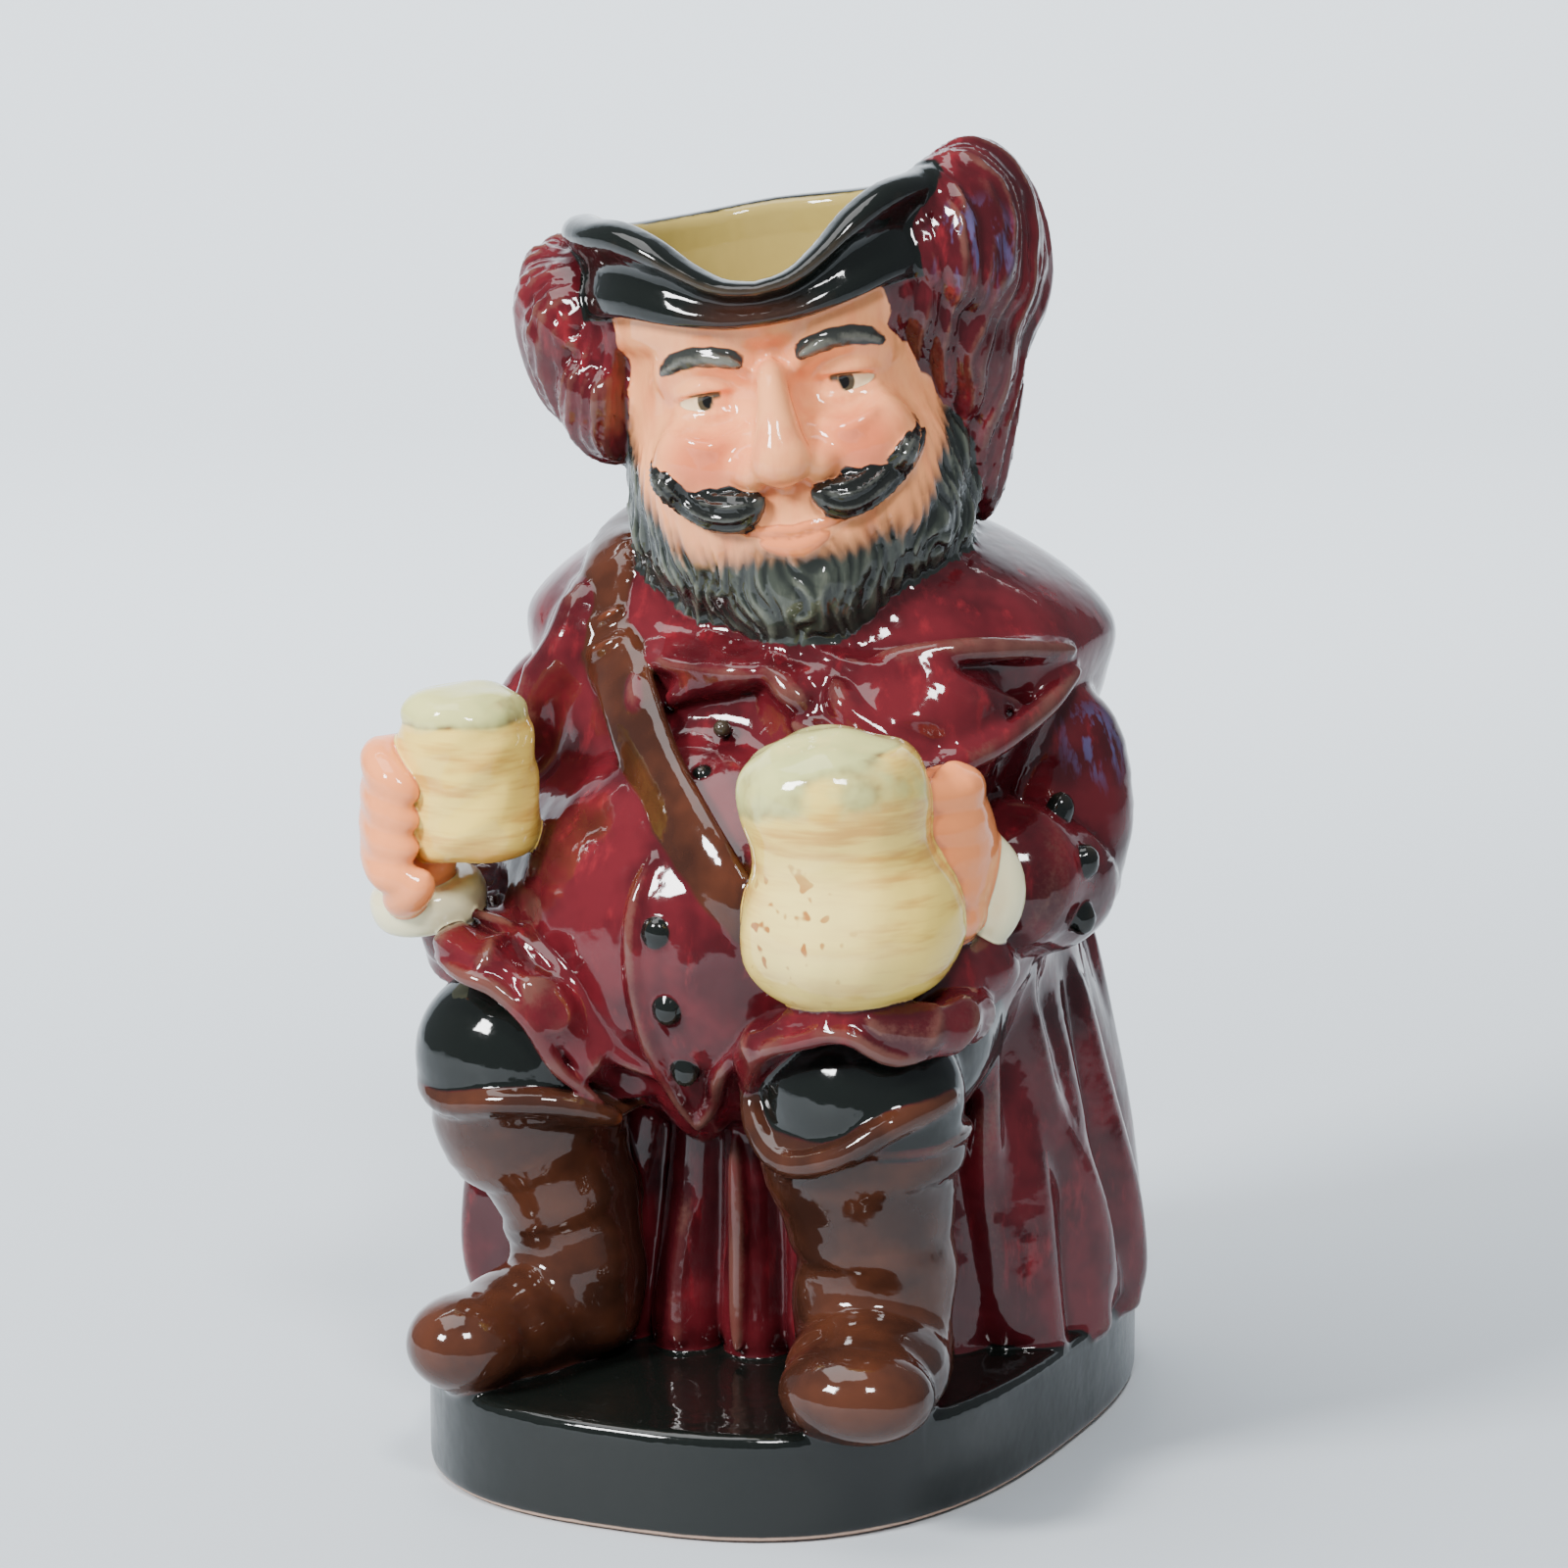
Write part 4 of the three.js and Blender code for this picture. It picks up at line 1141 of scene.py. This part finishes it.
def mug_colour(g):
    """Cream glaze with ochre rings at the neck, a painted highlight of lighter cream on the front of the
    bulb, and brown specks on the bulb.
    """
    rings_round = g.noise(7, 3, 0.6, g.stretched((0.35, 0.35, 2.6), (0.05, -0.1, 0)))
    colour = g.mix(g.ramp(rings_round, 0.42, 0.68, 0, 0.85), MUG_GLAZE_AND_HIGHLIGHT["main"], MUG_MARKS["streak"])
    # Painted highlight: the front of the large mug's bulb turns a lighter cream
    colour = g.mix(g.times(g.near((31, -62, 98), 6, 17), 0.7), colour, MUG_GLAZE_AND_HIGHLIGHT["clear"])
    specks = g.times(g.ramp(g.noise(2.7, 1), 0.62, 0.69), g.near((27, -64, 98), 5, 16))
    return g.mix(specks, colour, MUG_MARKS["speck"])


def eye_colours(g, colour):
    """The white of each eye, its iris and pupil, and the dark line under the upper lid."""
    inside = g.kept("eye")
    rim = g.times(g.ramp(inside, -0.95, -0.55), g.ramp(inside, -0.05, 0.1, 1, 0))
    for side in (-1, 1):
        above = g.near(head_place(side * EYE["x"], -22, EYE["z"] + 8), 7.3, 8.1)
        colour = g.mix(g.times(rim, above), colour, IRIS)
    white = g.ramp(inside, -0.12, 0.12)
    colour = g.mix(white, colour, EYE_WHITE)
    for side in (-1, 1):
        x, y, z = side * EYE["x"], EYE["sunk"] - EYE["radius"], EYE["z"]
        centre = head_place(x + 0.3 * side, y + 0.15, z + 0.2)
        for size, shade in ((2.0, IRIS), (1.15, PUPIL)):
            disc = g.near(centre, size - 0.15, size + 0.15)
            colour = g.mix(g.times(white, disc), colour, shade)
    return colour


def glaze_material():
    g = Glaze("Glazed earthenware")
    patch = g.noise(15, 3, 0.55)
    streak = g.noise(6, 4, 0.6, g.stretched((1.5, 1.5, 0.5), (0.2, 0.1, 0.3)))
    speckle = g.noise(0.9, 2, 0.7)
    wobble = g.noise(4, 2, 0.5)
    black, beard = black_colour(g, streak), beard_colour(g, streak)
    # Pale on the ridges of moustache and brows: grey strokes, and partly painted highlights on the strands
    hair_strokes_and_highlights = g.varied(g.ridge, streak, 0.5)
    foam = g.mix(g.ramp(patch, 0.4, 0.7), FOAM["main"], FOAM["shade"])
    ink = g.mix(g.ramp(hair_strokes_and_highlights, 0.14, 0.42, 0, 0.5), INK["main"], INK["pale"])
    brow_hair = g.mix(g.ramp(hair_strokes_and_highlights, 0.05, 0.35), BROW["main"], BROW["pale"])
    # Painted shade: the inside darkens away from the hat's opening, down into the hollow
    inside = g.mix(g.near(head_place(0, 0, 42), 12, 34), INSIDE_WITH_SHADE["deep"], INSIDE_WITH_SHADE["main"])
    # Each area's paint, how far its edge fades and wanders in millimetres, and its colour
    areas = [
        ("boot", 0.35, 0.5, leather_colour(g, BROWN, patch, streak)),
        ("belt", 0.3, 0.5, leather_colour(g, BELT, patch, streak)),
        ("black", 0.3, 0.5, black),
        ("hat", 0.3, 0.5, hat_colour(g, black, patch)),
        ("skin", 0.25, 0.3, skin_colour(g, patch, streak, beard)),
        ("beard", 0.4, 0, beard),
        ("lips", 0.5, 0, LIPS),
        ("cuff", 0.25, 0.3, CREAM),
        ("mug", 0.25, 0.3, mug_colour(g)),
        ("foam", 0.7, 1.5, foam),
        ("ink", 0.2, 0.2, ink),
        ("brow", 0.3, 0.3, brow_hair),
    ]
    colour = cloth_colour(g, patch, streak, speckle)
    for paint, soft, wander, tint in areas:
        colour = g.mix(g.area(paint, soft, wobble, wander), colour, tint)
    colour = g.mix(g.area("inside", 0.3, wobble, 0.8), eye_colours(g, colour), inside)
    height = g.node("SeparateXYZ", {0: g.place()}).outputs[2]
    foot = g.ramp(g.math("MULTIPLY_ADD", wobble, 0.4 * MM, height), 0.9 * MM, 1.3 * MM, 1, 0)
    colour = g.mix(foot, colour, CLAY)
    rough = g.ramp(speckle, 0.3, 0.8, ROUGH["least"], ROUGH["most"])
    rough = g.math("MULTIPLY_ADD", foot, ROUGH["bare_clay"], rough)
    rough = g.math("ADD", rough, g.ramp(height, 14 * MM, 15.5 * MM, ROUGH["base_side"], 0))
    small, large = g.noise(DIMPLES["small"], 2, 0.5), g.noise(DIMPLES["large"], 2, 0.5)
    dimples = {"Height": g.math("MULTIPLY_ADD", small, 0.1, large), "Strength": DIMPLES["strength"]}
    bump = g.node("Bump", {**dimples, "Distance": DIMPLES["depth"] * MM}).outputs[0]
    surface = {"Base Color": colour, "Roughness": rough, "IOR": IOR, "Normal": bump}
    g.node("OutputMaterial", {0: g.node("BsdfPrincipled", surface).outputs[0]})
    return g.material


# The jug in the scene

jug = jug_piece()
jug.data.materials.append(glaze_material())
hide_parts("jug")
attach(jug, "root")

# Camera, as the photo was taken

PHOTO = {"pixels": 1600, "focal": 6187.3, "azimuth": 23.96, "elevation": 11.98, "distance": 1.0}
AIM = {"right": -1.17 * MM, "up": 106.9 * MM}
SENSOR = 36


def camera():
    turn, rise = math.radians(PHOTO["azimuth"]), math.radians(PHOTO["elevation"])
    right = Vector((math.cos(turn), math.sin(turn), 0))
    back = Vector((math.sin(turn) * math.cos(rise), -math.cos(turn) * math.cos(rise), math.sin(rise)))
    lens = bpy.data.cameras.new("camera")
    lens.sensor_width = SENSOR
    lens.sensor_fit = "HORIZONTAL"
    lens.lens = SENSOR * PHOTO["focal"] / PHOTO["pixels"]
    lens.clip_start = 0.01
    made = linked("camera", lens)
    made.location = right * AIM["right"] + Vector((0, 0, AIM["up"])) + back * PHOTO["distance"]
    made.rotation_euler = back.to_track_quat("Z", "Y").to_euler()
    bpy.context.scene.camera = made


# Floor and light, in metres
PAPER = {"colour": (0.5, 0.545, 0.585, 1), "roughness": 0.75, "under_jug": 0.0002}
ROOM = {"colour": (0.62, 0.68, 0.75, 1), "strength": 0.42}
MIDDLE = 0.11
# Each box's name, its place and the place it faces as [azimuth, elevation, distance], size and watts
BOXES = [
    ["key", [-27, 33, 1.3], [0, 0, 0], [0.3, 0.3], 30],
    ["second", [32, 46, 1.4], [0, 0, 0], [0.25, 0.25], 15],
    ["top", [-60, 72, 1.5], [0, 0, 0], [1.0, 1.0], 14],
    ["wall", [212, 60, 1.1], [214, 8, 1.7], [1.6, 0.5], 54],
]


def backdrop():
    """A pale floor that curves up into a wall behind the jug."""
    half, bend, near, far, tall = 1.6, 0.5, 0.5, 1.1, 1.8
    curve = np.linspace(0.15, math.pi / 2, 11)
    profile = [(-near, 0), (far, 0)]
    profile += [(far + bend * math.sin(a), bend - bend * math.cos(a)) for a in curve]
    profile.append((far + bend, tall))
    lean = Matrix.Rotation(math.radians(PHOTO["azimuth"]), 3, "Z")
    places = [lean @ Vector((x, y, z - PAPER["under_jug"])) for y, z in profile for x in (-half, half)]
    faces = [(2 * i, 2 * i + 1, 2 * i + 3, 2 * i + 2) for i in range(len(profile) - 1)]
    mesh = bpy.data.meshes.new("backdrop")
    mesh.from_pydata(places, [], faces)
    mesh.shade_smooth()
    paper = bpy.data.materials.new("Pale paper")
    paper.use_nodes = True
    shader = paper.node_tree.nodes["Principled BSDF"]
    shader.inputs["Base Color"].default_value = PAPER["colour"]
    shader.inputs["Roughness"].default_value = PAPER["roughness"]
    mesh.materials.append(paper)
    made = linked("backdrop", mesh)


def place_round(azimuth, elevation, distance):
    """A place round the jug's middle, with the azimuth from its front towards its left."""
    turn, rise = math.radians(azimuth), math.radians(elevation)
    level = distance * math.cos(rise)
    return Vector((level * math.sin(turn), -level * math.cos(turn), MIDDLE + distance * math.sin(rise)))


def softbox(name, at, facing, size, power):
    light = bpy.data.lights.new(name, "AREA")
    light.shape = "RECTANGLE"
    light.size, light.size_y = size
    light.energy = power
    made = linked(name, light)
    made.location = place_round(*at)
    made.rotation_euler = (made.location - place_round(*facing)).to_track_quat("Z", "Y").to_euler()


def lights():
    world = bpy.data.worlds.new("room")
    world.use_nodes = True
    background = world.node_tree.nodes["Background"]
    background.inputs[0].default_value = ROOM["colour"]
    background.inputs[1].default_value = ROOM["strength"]
    bpy.context.scene.world = world
    for box in BOXES:
        softbox(*box)


camera()
backdrop()
lights()
